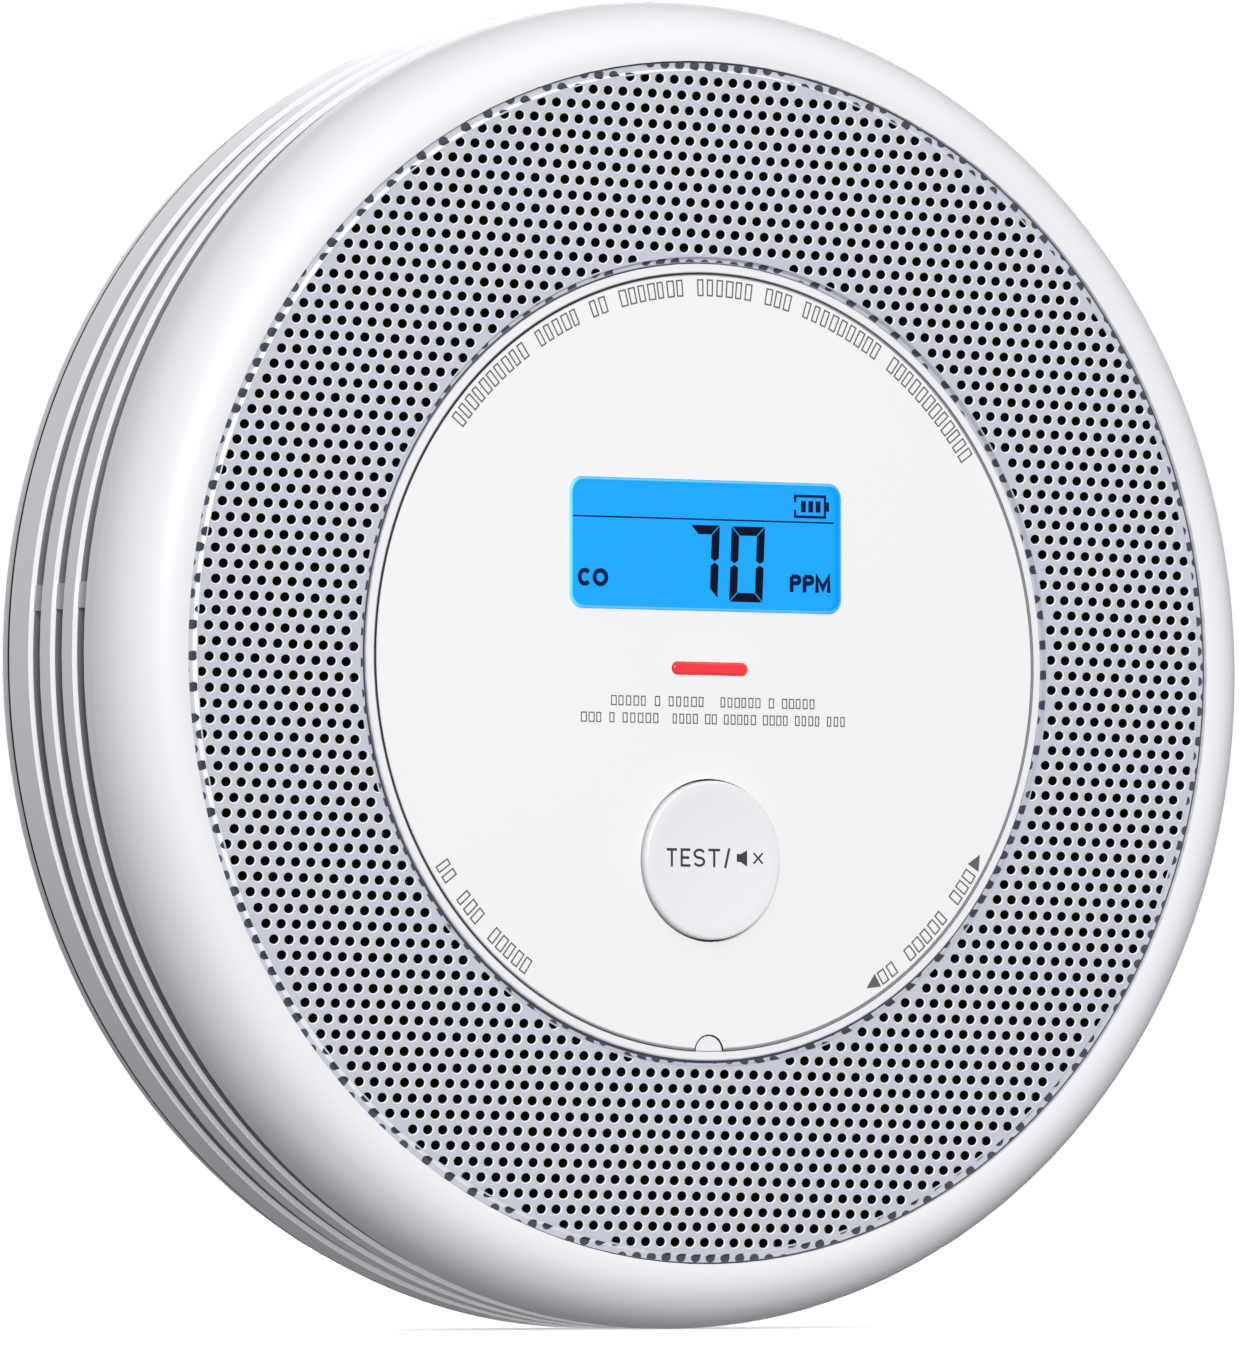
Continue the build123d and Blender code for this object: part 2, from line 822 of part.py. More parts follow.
with BuildPart() as piezo_disc:
    with BuildSketch(facing(disc_back)):
        with Locations((0, horn_z)):
            Circle(disc_radius)
    extrude(amount=disc_thickness)
save(piezo_disc, "piezo_disc")

with BuildPart() as piezo_ceramic:
    with BuildSketch(facing(ceramic_back)):
        with Locations((0, horn_z)):
            Circle(ceramic_radius)
    extrude(amount=ceramic_thickness)
save(piezo_ceramic, "piezo_ceramic")

with BuildPart() as horn_cover:
    with BuildSketch(facing(horn_cover_back)):
        with Locations((0, horn_z)):
            Circle(horn_radius)
    extrude(amount=horn_cover_front - horn_cover_back)
    with BuildSketch(facing(horn_cover_back - cut_margin)):
        with Locations((0, horn_z)):
            Circle(horn_radius - horn_wall)
    extrude(amount=horn_roof_back + cut_margin - horn_cover_back, mode=Mode.SUBTRACT)
    with BuildSketch(facing(horn_roof_back - cut_margin)):
        with Locations((0, horn_z)):
            Circle(horn_mouth_radius)
    extrude(amount=horn_cover_front - horn_roof_back + 2 * cut_margin, mode=Mode.SUBTRACT)
    fillet(horn_cover.faces().sort_by(Axis.Y)[0].outer_wire().edges(), horn_fillet)
save(horn_cover, "horn_cover")

# Rear cover: raised middle, sunken outer floor, bayonet slots, battery bay, posts
half_hook = hook_arc / 2
cover_hub_inner_radius = cover_hub_radius - 1.4
knuckle_root = bay_left - 0.5
post_radius = 3.0
post_hole_radius = 1.05
post_hole_back = cover_back + 1.0
screw_clearance = 0.3
hook_slot_back = 3.5
hook_slot_front = 6.0
with BuildPart() as rear_cover:
    with BuildSketch(profile_plane):
        with BuildLine():
            Polyline(
                (0, cover_back),
                (cover_hub_radius, cover_back),
                (cover_hub_radius, cover_floor_back),
                (cover_radius, cover_floor_back),
                (cover_radius, cover_floor_front),
                (cover_hub_inner_radius, cover_floor_front),
                (cover_hub_inner_radius, cover_inside),
                (0, cover_inside),
                close=True,
            )
        make_face()
    revolve(axis=Axis.Y)
    for left, front in ((bay_left, hinge_well_front), (cell_bay_left, bay_front)):
        with BuildSketch(facing(cover_inside)):
            with Locations(((left + bay_right) / 2, 0)):
                Rectangle(bay_right - left + 2 * bay_wall, 2 * (bay_half_height + bay_wall))
        extrude(amount=front - cover_inside)
    for left, front in ((bay_left, hinge_well_front), (cell_bay_left, bay_front)):
        with BuildSketch(facing(cover_inside)):
            with Locations(((left + bay_right) / 2, 0)):
                Rectangle(bay_right - left, 2 * bay_half_height)
        extrude(amount=front - bay_roof - cover_inside, mode=Mode.SUBTRACT)
    with BuildSketch(facing(cover_back)):
        with Locations(((bay_left + door_right + door_gap) / 2, 0)):
            Rectangle(door_right + door_gap - bay_left, 2 * (door_half_height + door_gap))
    extrude(amount=cover_thickness, mode=Mode.SUBTRACT)
    for knuckle_low in (-knuckle_end, knuckle_start):
        with BuildSketch(Plane.XY.offset(knuckle_low)):
            with Locations((hinge_x, hinge_y)):
                Circle(hinge_radius)
            with Locations(((hinge_x + knuckle_root) / 2, hinge_y)):
                Rectangle(hinge_x - knuckle_root, 2 * hinge_radius)
            with Locations((hinge_x, hinge_y)):
                Circle(hinge_pin_radius + hinge_clearance, mode=Mode.SUBTRACT)
        extrude(amount=knuckle_end - knuckle_start)
    with BuildSketch(facing(cover_inside)):
        with Locations(*board_posts):
            Circle(post_radius)
    extrude(amount=board_back - cover_inside - seat_gap)
    with BuildSketch(facing(post_hole_back)):
        with Locations(*board_posts):
            Circle(post_hole_radius)
    extrude(amount=board_back - cover_back, mode=Mode.SUBTRACT)
    with BuildSketch(facing(cover_floor_back - cut_margin)):
        with PolarLocations(boss_ring_radius, boss_count, boss_first_angle):
            Circle(screw_shank_radius + screw_clearance)
    extrude(amount=cover_floor_front - cover_floor_back + 2 * cut_margin, mode=Mode.SUBTRACT)
    for angle in hook_angles:
        with BuildSketch(radial_plane(angle - twist_angle - half_hook - hook_end_play)):
            ring_box(
                hook_stem_inner - hook_play,
                hook_stem_outer + hook_play,
                hook_slot_back,
                hook_slot_front,
            )
        revolve(
            axis=front_axis,
            revolution_arc=twist_angle + hook_arc + 2 * hook_end_play,
            mode=Mode.SUBTRACT,
        )
        with BuildSketch(radial_plane(angle - twist_angle - half_hook - hook_end_play)):
            ring_box(
                hook_stem_inner - hook_play,
                hook_lip_outer + hook_play,
                hook_slot_back,
                hook_slot_front,
            )
        revolve(
            axis=front_axis,
            revolution_arc=hook_arc + 2 * hook_end_play,
            mode=Mode.SUBTRACT,
        )
    with BuildSketch(facing(cover_back)):
        with Locations((label_x, 0)):
            RectangleRounded(label_recess_width, label_recess_height, label_recess_corner)
    extrude(amount=label_recess_depth, mode=Mode.SUBTRACT)
save(rear_cover, "rear_cover")

# Rating label: blank, in the shallow recess on the back
with BuildPart() as rating_label:
    with BuildSketch(facing(cover_back + label_sink)):
        with Locations((label_x, 0)):
            RectangleRounded(label_width, label_height, label_corner)
    extrude(amount=label_thickness)
save(rating_label, "rating_label")

# Battery cell with its raised positive end
cell_fillet = 0.7
cell_nub_radius = 3.2
cell_nub_height = 1.0
with BuildPart() as battery_cell:
    with BuildSketch(Plane.XY.offset(cell_bottom)):
        with Locations((cell_x, cell_y)):
            Circle(cell_radius)
    extrude(amount=cell_top - cell_bottom)
    fillet(battery_cell.edges().filter_by(GeomType.CIRCLE), cell_fillet)
    with BuildSketch(Plane.XY.offset(cell_top - overlap)):
        with Locations((cell_x, cell_y)):
            Circle(cell_nub_radius)
    extrude(amount=cell_nub_height + overlap)
save(battery_cell, "battery_cell")

# Battery contacts: a flat plate with a solder tail above the cell, and a plate below
# it whose spring is stepped, each step as (height, radius, thickness)
contact_thickness = 0.4
positive_low = 17.3
positive_width = 11.0
tail_width = 8.0
tail_low = 17.5
tail_length = 1.8
tail_offset = 5.3
negative_low = -19.35
negative_width = 12.0
spring_steps = ((-18.98, 4.6, 0.5), (-18.5, 3.4, 0.6), (-17.92, 2.2, 0.6))
with BuildPart() as positive_contact:
    with BuildSketch(Plane.XY.offset(positive_low)):
        with Locations((cell_x, cell_y)):
            Rectangle(positive_width, positive_width)
    extrude(amount=contact_thickness)
    with BuildSketch(Plane.XY.offset(tail_low)):
        with Locations((cell_x, cell_y - tail_offset)):
            Rectangle(tail_width, contact_thickness)
    extrude(amount=tail_length)
save(positive_contact, "positive_contact")

with BuildPart() as negative_contact:
    with BuildSketch(Plane.XY.offset(negative_low)):
        with Locations((cell_x, cell_y)):
            Rectangle(negative_width, negative_width)
    extrude(amount=contact_thickness)
    for step_low, step_radius, step_thickness in spring_steps:
        with BuildSketch(Plane.XY.offset(step_low)):
            with Locations((cell_x, cell_y)):
                Circle(step_radius)
        extrude(amount=step_thickness)
save(negative_contact, "negative_contact")

# Battery door with its hinge barrel and finger grooves
barrel_overlap = 0.2
finger_groove_count = 3
finger_groove_pitch = 1.8
finger_groove_width = 0.8
finger_groove_length = 14.0
finger_groove_depth = 0.5
finger_groove_x = door_right - 5.0
with BuildPart() as battery_door:
    with BuildSketch(facing(cover_back)):
        with Locations(((door_left + door_right) / 2, 0)):
            Rectangle(door_right - door_left, 2 * door_half_height)
        with Locations(((hinge_x + door_left) / 2, 0)):
            Rectangle(door_left - hinge_x + barrel_overlap, 2 * barrel_half_length)
    extrude(amount=cover_thickness - seat_gap)
    with BuildSketch(Plane.XY.offset(-barrel_half_length)):
        with Locations((hinge_x, hinge_y)):
            Circle(hinge_radius)
    extrude(amount=2 * barrel_half_length)
    with BuildSketch(Plane.XY.offset(-barrel_half_length)):
        with Locations((hinge_x, hinge_y)):
            Circle(hinge_pin_radius + hinge_clearance)
    extrude(amount=2 * barrel_half_length, mode=Mode.SUBTRACT)
    with BuildSketch(facing(cover_back)):
        with Locations((finger_groove_x, 0)):
            with GridLocations(finger_groove_pitch, 1, finger_groove_count, 1):
                Rectangle(finger_groove_width, finger_groove_length)
    extrude(amount=finger_groove_depth, mode=Mode.SUBTRACT)
save(battery_door, "battery_door")

pin_half_length = knuckle_end - 0.2
with BuildPart() as door_pin:
    with BuildSketch(Plane.XY.offset(-pin_half_length)):
        with Locations((hinge_x, hinge_y)):
            Circle(hinge_pin_radius)
    extrude(amount=2 * pin_half_length)
save(door_pin, "door_pin")

# Mounting plate: a ring with two screw slots, a stiffening rib and bayonet hooks
plate_bevel = 0.35
plate_rib_width = 1.0
plate_rib_height = 1.6
hook_root = plate_thickness - 0.2
hook_bevel = 0.3
with BuildPart() as mounting_plate:
    with BuildSketch(facing(0)):
        Circle(plate_radius)
        Circle(plate_opening_radius, mode=Mode.SUBTRACT)
        with Locations((-wall_screw_x, 0), (wall_screw_x, 0)):
            SlotOverall(wall_slot_length, wall_slot_width, mode=Mode.SUBTRACT)
    extrude(amount=plate_thickness)
    chamfer(mounting_plate.faces().sort_by(Axis.Y)[0].outer_wire().edges(), plate_bevel)
    with BuildSketch(facing(plate_thickness)):
        Circle(plate_opening_radius + plate_rib_width)
        Circle(plate_opening_radius, mode=Mode.SUBTRACT)
    extrude(amount=plate_rib_height)
    for angle in hook_angles:
        with BuildSketch(radial_plane(angle - half_hook)):
            with BuildLine():
                Polyline(
                    (hook_stem_inner, hook_root),
                    (hook_stem_outer, hook_root),
                    (hook_stem_outer, hook_lip_back),
                    (hook_lip_outer, hook_lip_back),
                    (hook_lip_outer, hook_front - hook_bevel),
                    (hook_lip_outer - hook_bevel, hook_front),
                    (hook_stem_inner, hook_front),
                    close=True,
                )
            make_face()
        revolve(axis=front_axis, revolution_arc=hook_arc)
save(mounting_plate, "mounting_plate")

# Housing screws, driven from the back into the cover's bosses
with BuildPart() as housing_screws:
    with BuildSketch(facing(screw_head_back)):
        with PolarLocations(boss_ring_radius, boss_count, boss_first_angle):
            Circle(screw_head_radius)
    extrude(amount=cover_floor_back - screw_head_back - seat_gap)
    with BuildSketch(facing(screw_head_back)):
        with PolarLocations(boss_ring_radius, boss_count, boss_first_angle):
            Rectangle(screw_cross_length, screw_cross_width)
            Rectangle(screw_cross_width, screw_cross_length)
    extrude(amount=screw_cross_depth, mode=Mode.SUBTRACT)
    with BuildSketch(facing(cover_floor_back - overlap)):
        with PolarLocations(boss_ring_radius, boss_count, boss_first_angle):
            Circle(screw_shank_radius)
    extrude(amount=screw_end - cover_floor_back + overlap)
save(housing_screws, "housing_screws")

# Board screws, driven from the front into the rear cover's posts
with BuildPart() as board_screws:
    with BuildSketch(facing(board_front + seat_gap)):
        with Locations(*board_posts):
            Circle(board_screw_head_radius)
    extrude(amount=board_screw_head_height)
    with BuildSketch(facing(board_front + seat_gap + screw_cross_depth)):
        with Locations(*board_posts):
            Rectangle(board_screw_cross_length, screw_cross_width)
            Rectangle(screw_cross_width, board_screw_cross_length)
    extrude(amount=screw_cross_depth, mode=Mode.SUBTRACT)
    with BuildSketch(facing(board_screw_end)):
        with Locations(*board_posts):
            Circle(board_screw_radius)
    extrude(amount=board_front - board_screw_end + overlap)
save(board_screws, "board_screws")
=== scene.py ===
import json
import math
import random

import bpy
from mathutils import Matrix, Vector


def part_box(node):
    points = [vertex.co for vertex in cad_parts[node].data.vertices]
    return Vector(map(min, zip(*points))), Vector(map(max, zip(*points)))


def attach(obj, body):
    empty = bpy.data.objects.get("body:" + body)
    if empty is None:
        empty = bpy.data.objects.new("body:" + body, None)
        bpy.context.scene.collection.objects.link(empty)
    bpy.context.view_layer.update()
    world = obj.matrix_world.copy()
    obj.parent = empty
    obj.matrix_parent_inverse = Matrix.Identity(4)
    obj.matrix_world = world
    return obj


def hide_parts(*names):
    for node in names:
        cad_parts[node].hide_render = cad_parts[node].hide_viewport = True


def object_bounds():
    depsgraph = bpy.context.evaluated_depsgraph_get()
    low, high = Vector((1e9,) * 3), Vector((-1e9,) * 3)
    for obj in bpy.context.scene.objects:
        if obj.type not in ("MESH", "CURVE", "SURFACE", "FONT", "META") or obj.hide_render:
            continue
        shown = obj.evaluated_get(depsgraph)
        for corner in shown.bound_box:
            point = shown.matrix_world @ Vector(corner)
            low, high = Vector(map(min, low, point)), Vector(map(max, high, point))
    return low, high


# A round gas alarm standing on its rim. The wall plane is Y = 0 and the alarm looks
# along -Y. Sizes are in millimetres; "depth" is the distance out of the wall.

MM = 0.001
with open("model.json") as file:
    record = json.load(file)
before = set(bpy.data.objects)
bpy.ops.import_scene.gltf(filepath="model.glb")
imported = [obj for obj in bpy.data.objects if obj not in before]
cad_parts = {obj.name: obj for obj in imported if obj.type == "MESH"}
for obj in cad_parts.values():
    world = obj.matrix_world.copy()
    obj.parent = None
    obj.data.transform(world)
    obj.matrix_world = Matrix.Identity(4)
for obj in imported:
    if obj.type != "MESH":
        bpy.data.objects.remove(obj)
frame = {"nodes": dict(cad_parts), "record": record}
cad_low, cad_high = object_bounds()
nodes = frame["nodes"]
dice = random.Random(7)

panel_low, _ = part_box("face_panel")
window_low, window_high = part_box("lcd_window")
button_low, button_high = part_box("test_button")
_, grille_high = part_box("grille")
_, cover_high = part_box("front_cover")
label_low, label_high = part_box("rating_label")
cell_low, cell_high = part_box("battery_cell")

FACE = -panel_low.y / MM
GRILLE_OUTER = grille_high.x / MM


# ---------------------------------------------------------------- materials

def node(tree, kind, **settings):
    made = tree.nodes.new(kind)
    for key, value in settings.items():
        if key in made.inputs:
            made.inputs[key].default_value = value
        else:
            setattr(made, key, value)
    return made


def mix_colour(tree, factor, first, second, blend="MIX"):
    """Colour mix; each of the three is a socket or a value."""
    made = node(tree, "ShaderNodeMix", data_type="RGBA", blend_type=blend)
    for place, value in ((0, factor), (6, first), (7, second)):
        if isinstance(value, bpy.types.NodeSocket):
            tree.links.new(value, made.inputs[place])
        else:
            made.inputs[place].default_value = value
    return made.outputs[2]


def spread(tree, value, low, high):
    """A 0 to 1 socket stretched to low..high."""
    made = node(tree, "ShaderNodeMapRange")
    tree.links.new(value, made.inputs["Value"])
    made.inputs["To Min"].default_value = low
    made.inputs["To Max"].default_value = high
    return made.outputs["Result"]


def noise(tree, coords, scale, detail=3.0, stretch=None):
    if stretch:
        squeeze = node(tree, "ShaderNodeMapping")
        squeeze.inputs["Scale"].default_value = stretch
        tree.links.new(coords, squeeze.inputs["Vector"])
        coords = squeeze.outputs["Vector"]
    made = node(tree, "ShaderNodeTexNoise", Scale=scale, Detail=detail)
    tree.links.new(coords, made.inputs["Vector"])
    return made.outputs["Fac"]


def shade(colour, factor):
    return tuple(min(1.0, c * factor) for c in colour[:3]) + (1.0,)


def start(name):
    material = bpy.data.materials.new(name)
    material.use_nodes = True
    tree = material.node_tree
    shader = tree.nodes["Principled BSDF"]
    coords = node(tree, "ShaderNodeTexCoord").outputs["Object"]
    return material, tree, shader, coords


def moulded(
    name,
    colour,
    rough=0.35,
    tone=0.03,
    grain=1800.0,
    bump=0.04,
    metal=0.0,
    stretch=None,
    glow=0.0,
    coat=0.0,
    specular=0.5,
):
    """Moulded, painted or plated surface: broad tone drift, fine grain, uneven gloss."""
    material, tree, shader, coords = start(name)
    broad = noise(tree, coords, 45.0, 2.0)
    fine = noise(tree, coords, grain, 4.0, stretch)
    drift = mix_colour(tree, broad, shade(colour, 1 - tone), shade(colour, 1 + tone))
    speck = spread(tree, fine, 0.0, 2 * tone)
    base = mix_colour(tree, speck, drift, shade(colour, 0.75))
    tree.links.new(base, shader.inputs["Base Color"])
    gloss = spread(tree, noise(tree, coords, 220.0, 3.0), rough * 0.85, rough * 1.15)
    tree.links.new(gloss, shader.inputs["Roughness"])
    shader.inputs["Metallic"].default_value = metal
    shader.inputs["Coat Weight"].default_value = coat
    shader.inputs["Specular IOR Level"].default_value = specular
    lift = node(tree, "ShaderNodeBump", Strength=bump, Distance=0.0001)
    tree.links.new(fine, lift.inputs["Height"])
    tree.links.new(lift.outputs["Normal"], shader.inputs["Normal"])
    if glow:
        tree.links.new(base, shader.inputs["Emission Color"])
        shader.inputs["Emission Strength"].default_value = glow
    return material


def woven(name, colour, pitch, rough=0.8):
    """Two crossed sets of threads, on the X-Z plane."""
    material, tree, shader, coords = start(name)
    threads = []
    for direction in ("X", "Z"):
        wave = node(tree, "ShaderNodeTexWave", bands_direction=direction, Scale=0.31 / pitch)
        wave.inputs["Distortion"].default_value = 0.4
        tree.links.new(coords, wave.inputs["Vector"])
        threads.append(wave.outputs["Fac"])
    cross = node(tree, "ShaderNodeMath", operation="MAXIMUM")
    tree.links.new(threads[0], cross.inputs[0])
    tree.links.new(threads[1], cross.inputs[1])
    base = mix_colour(tree, cross.outputs[0], shade(colour, 0.35), shade(colour, 1.0))
    tree.links.new(base, shader.inputs["Base Color"])
    gloss = spread(tree, noise(tree, coords, 600.0), rough * 0.9, min(1.0, rough * 1.1))
    tree.links.new(gloss, shader.inputs["Roughness"])
    lift = node(tree, "ShaderNodeBump", Strength=0.4, Distance=0.0001)
    tree.links.new(cross.outputs[0], lift.inputs["Height"])
    tree.links.new(lift.outputs["Normal"], shader.inputs["Normal"])
    return material


def board_mask(name, colour, track):
    """Solder mask over copper: square-cornered patches show through as a lighter tone."""
    material, tree, shader, coords = start(name)
    cells = node(tree, "ShaderNodeTexVoronoi", Scale=330.0, distance="CHEBYCHEV", feature="F1")
    cells.inputs["Randomness"].default_value = 0.55
    tree.links.new(coords, cells.inputs["Vector"])
    edge = node(tree, "ShaderNodeMath", operation="GREATER_THAN")
    edge.inputs[1].default_value = 0.42
    tree.links.new(cells.outputs["Distance"], edge.inputs[0])
    fine = noise(tree, coords, 1500.0)
    drift = mix_colour(tree, fine, shade(colour, 0.85), shade(colour, 1.15))
    base = mix_colour(tree, edge.outputs[0], drift, track + (1.0,))
    tree.links.new(base, shader.inputs["Base Color"])
    gloss = spread(tree, fine, 0.22, 0.34)
    tree.links.new(gloss, shader.inputs["Roughness"])
    lift = node(tree, "ShaderNodeBump", Strength=0.25, Distance=0.00005)
    tree.links.new(edge.outputs[0], lift.inputs["Height"])
    tree.links.new(lift.outputs["Normal"], shader.inputs["Normal"])
    return material


def lit_cell(name, colour, strength):
    """Backlit display ground: an even glow with a slight drift and a faint cell grid."""
    material, tree, shader, coords = start(name)
    broad = noise(tree, coords, 70.0, 1.0)
    grid = node(tree, "ShaderNodeTexWave", bands_direction="X", Scale=1200.0)
    tree.links.new(coords, grid.inputs["Vector"])
    drift = mix_colour(tree, broad, shade(colour, 0.96), shade(colour, 1.04))
    faint = spread(tree, grid.outputs["Fac"], 0.0, 0.03)
    base = mix_colour(tree, faint, drift, shade(colour, 0.7))
    shader.inputs["Base Color"].default_value = shade(colour, 0.08)
    shader.inputs["Specular IOR Level"].default_value = 0.2
    tree.links.new(base, shader.inputs["Emission Color"])
    shader.inputs["Emission Strength"].default_value = strength
    gloss = spread(tree, broad, 0.3, 0.4)
    tree.links.new(gloss, shader.inputs["Roughness"])
    return material


def painted_side_light(name, left, right, strength):
    """Painted light on a clear plastic edge: one self-lit tone where it faces -X, one where +X."""
    material, tree, shader, coords = start(name)
    facing = node(tree, "ShaderNodeNewGeometry").outputs["Normal"]
    split = node(tree, "ShaderNodeSeparateXYZ")
    tree.links.new(facing, split.inputs[0])
    side = node(tree, "ShaderNodeMapRange")
    side.inputs["From Min"].default_value = -0.7
    side.inputs["From Max"].default_value = 0.7
    tree.links.new(split.outputs["X"], side.inputs["Value"])
    tone = mix_colour(tree, side.outputs["Result"], left + (1.0,), right + (1.0,))
    fine = spread(tree, noise(tree, coords, 900.0), 0.0, 0.08)
    base = mix_colour(tree, fine, tone, shade(left, 0.6))
    tree.links.new(base, shader.inputs["Base Color"])
    tree.links.new(base, shader.inputs["Emission Color"])
    shader.inputs["Emission Strength"].default_value = strength
    gloss = spread(tree, noise(tree, coords, 300.0), 0.12, 0.2)
    tree.links.new(gloss, shader.inputs["Roughness"])
    return material


def clear_pane(name):
    """Clear window: see-through, with a Fresnel gloss broken by faint smears."""
    material, tree, shader, coords = start(name)
    tree.nodes.remove(shader)
    output = tree.nodes["Material Output"]
    through = node(tree, "ShaderNodeBsdfTransparent")
    mirror = node(tree, "ShaderNodeBsdfGlossy")
    gloss = spread(tree, noise(tree, coords, 120.0), 0.04, 0.12)
    tree.links.new(gloss, mirror.inputs["Roughness"])
    edge = node(tree, "ShaderNodeLayerWeight", Blend=0.12)
    share = spread(tree, edge.outputs["Fresnel"], 0.0, 0.25)
    both = node(tree, "ShaderNodeMixShader")
    tree.links.new(share, both.inputs["Fac"])
    tree.links.new(through.outputs[0], both.inputs[1])
    tree.links.new(mirror.outputs[0], both.inputs[2])
    tree.links.new(both.outputs[0], output.inputs["Surface"])
    return material


WHITE = (0.86, 0.862, 0.885)
PANEL = (0.905, 0.902, 0.898)
GREY = (0.57, 0.59, 0.655)

looks = {
    "shell_white": moulded("shell_white", WHITE, 0.42, 0.012, 1500.0, 0.02),
    "panel_white": moulded("panel_white", PANEL, 0.38, 0.01, 2400.0, 0.02),
    "grille_grey": moulded("grille_grey", GREY, 0.42, 0.035, 3800.0, 0.10),
    "mesh_black": woven("mesh_black", (0.008, 0.008, 0.012), 0.0004),
    "screen_black": woven("screen_black", (0.085, 0.088, 0.105), 0.0006),
    "cell_glass": moulded("cell_glass", (0.05, 0.35, 0.75), 0.12, 0.03, 900.0, 0.01),
    "backlight_blue": moulded("backlight_blue", (0.25, 0.6, 0.9), 0.3, 0.04, 700.0, 0.02, glow=0.4),
    "holder_white": moulded("holder_white", (0.74, 0.73, 0.70), 0.55, 0.03, 1400.0, 0.06),
    "pin_steel": moulded("pin_steel", (0.62, 0.62, 0.63), 0.25, 0.05, 2500.0, 0.05, 1.0),
    "bar_red": moulded(
        "bar_red", (0.72, 0.012, 0.022), 0.16, 0.05, 500.0, 0.01, glow=0.35, coat=0.6
    ),
    "lamp_white": moulded("lamp_white", (0.85, 0.80, 0.55), 0.35, 0.05, 1500.0, 0.03),
    "button_white": moulded("button_white", (0.85, 0.85, 0.862), 0.30, 0.012, 1700.0, 0.02),
    "switch_black": moulded("switch_black", (0.03, 0.03, 0.034), 0.5, 0.10, 1600.0, 0.08),
    "board_green": board_mask("board_green", (0.012, 0.10, 0.04), (0.03, 0.20, 0.08)),
    "chip_black": moulded("chip_black", (0.02, 0.02, 0.022), 0.6, 0.12, 2600.0, 0.15),
    "capacitor_sleeve": moulded("capacitor_sleeve", (0.03, 0.035, 0.09), 0.28, 0.06, 900.0, 0.03),
    "coil_ferrite": moulded("coil_ferrite", (0.07, 0.065, 0.065), 0.7, 0.12, 2100.0, 0.20),
    "sensor_can": moulded(
        "sensor_can", (0.58, 0.58, 0.57), 0.30, 0.05, 1500.0, 0.10, 1.0, (1.0, 1.0, 0.06)
    ),
    "sensor_seal": moulded("sensor_seal", (0.02, 0.02, 0.02), 0.75, 0.12, 1300.0, 0.15),
    "filter_white": woven("filter_white", (0.72, 0.72, 0.69), 0.0003, 0.9),
    "horn_black": moulded("horn_black", (0.035, 0.035, 0.038), 0.48, 0.10, 1500.0, 0.10),
    "horn_brass": moulded(
        "horn_brass", (0.66, 0.46, 0.16), 0.28, 0.07, 1500.0, 0.10, 1.0, (0.05, 1.0, 1.0)
    ),
    "ceramic_cream": moulded("ceramic_cream", (0.62, 0.57, 0.45), 0.6, 0.05, 1900.0, 0.08),
    "cover_white": moulded("cover_white", (0.78, 0.782, 0.80), 0.45, 0.02, 1100.0, 0.10),
    "label_silver": moulded(
        "label_silver", (0.60, 0.61, 0.63), 0.33, 0.03, 1600.0, 0.05, 0.55, (0.04, 1.0, 1.0)
    ),
    "cell_sleeve": moulded("cell_sleeve", (0.03, 0.12, 0.38), 0.25, 0.06, 600.0, 0.02, coat=0.3),
    "contact_nickel": moulded("contact_nickel", (0.66, 0.64, 0.58), 0.26, 0.06, 1700.0, 0.06, 1.0),
    "plate_white": moulded("plate_white", (0.80, 0.802, 0.82), 0.45, 0.02, 1200.0, 0.08),
    "screw_steel": moulded("screw_steel", (0.50, 0.50, 0.52), 0.32, 0.08, 2200.0, 0.12, 1.0),
}
ink = moulded("ink_grey", (0.12, 0.12, 0.125), 0.6, 0.10, 2500.0, 0.05)
band_white = moulded("band_white", (0.78, 0.78, 0.76), 0.3, 0.03, 800.0, 0.02, coat=0.3)
ink_dark = moulded("ink_dark", (0.035, 0.035, 0.05), 0.6, 0.10, 2500.0, 0.05)
segment_dark = moulded(
    "segment_dark", (0.004, 0.007, 0.020), 0.6, 0.10, 1200.0, 0.02, specular=0.05
)
icon_blue = moulded("icon_blue", (0.004, 0.014, 0.06), 0.6, 0.10, 1200.0, 0.02, specular=0.05)
# Painted shadow: near-black for the holes' inner walls.
hole_painted_shadow = moulded("hole_painted_shadow", (0.003, 0.003, 0.006), 0.8, 0.15, 2000.0, 0.05, specular=0.2)
# Painted shade: dark grey for the marks standing for holes on the grille's bands, and for the gaps
# round the hub and the grille.
band_painted_shade = moulded("band_painted_shade", (0.055, 0.06, 0.085), 0.6, 0.15, 2000.0, 0.05)
# Painted highlight: a light tone for the bevels round the grille's holes, far lighter than the
# grille.
bevel_painted_highlight = moulded("bevel_painted_highlight", (0.88, 0.89, 0.93), 0.35, 0.02, 3000.0, 0.05)
# Painted highlight: near-white with a slight glow, for the groove shoulders and the grille's outer
# riser.
shoulder_highlight = moulded("shoulder_highlight", (0.97, 0.97, 0.98), 0.4, 0.01, 1500.0, 0.02, glow=0.16)
# Painted shade: a darker grey than the shell, for the webs between the slots.
web_painted_shade = moulded("web_painted_shade", (0.42, 0.42, 0.445), 0.5, 0.02, 1500.0, 0.02)
# Painted shadow: dark grey for the slots' back walls and for a ring under the disc's gap.
painted_shade_grey = moulded("painted_shade_grey", (0.27, 0.27, 0.31), 0.7, 0.06, 1500.0, 0.05)
# Painted shadow: near-black for the seams round the disc, its tab and the plate's rim.
gap_painted_shadow = moulded("gap_painted_shadow", (0.010, 0.010, 0.012), 0.7, 0.10, 1500.0, 0.05)
cell_blue = lit_cell("cell_blue", (0.008, 0.37, 1.0), 1.0)
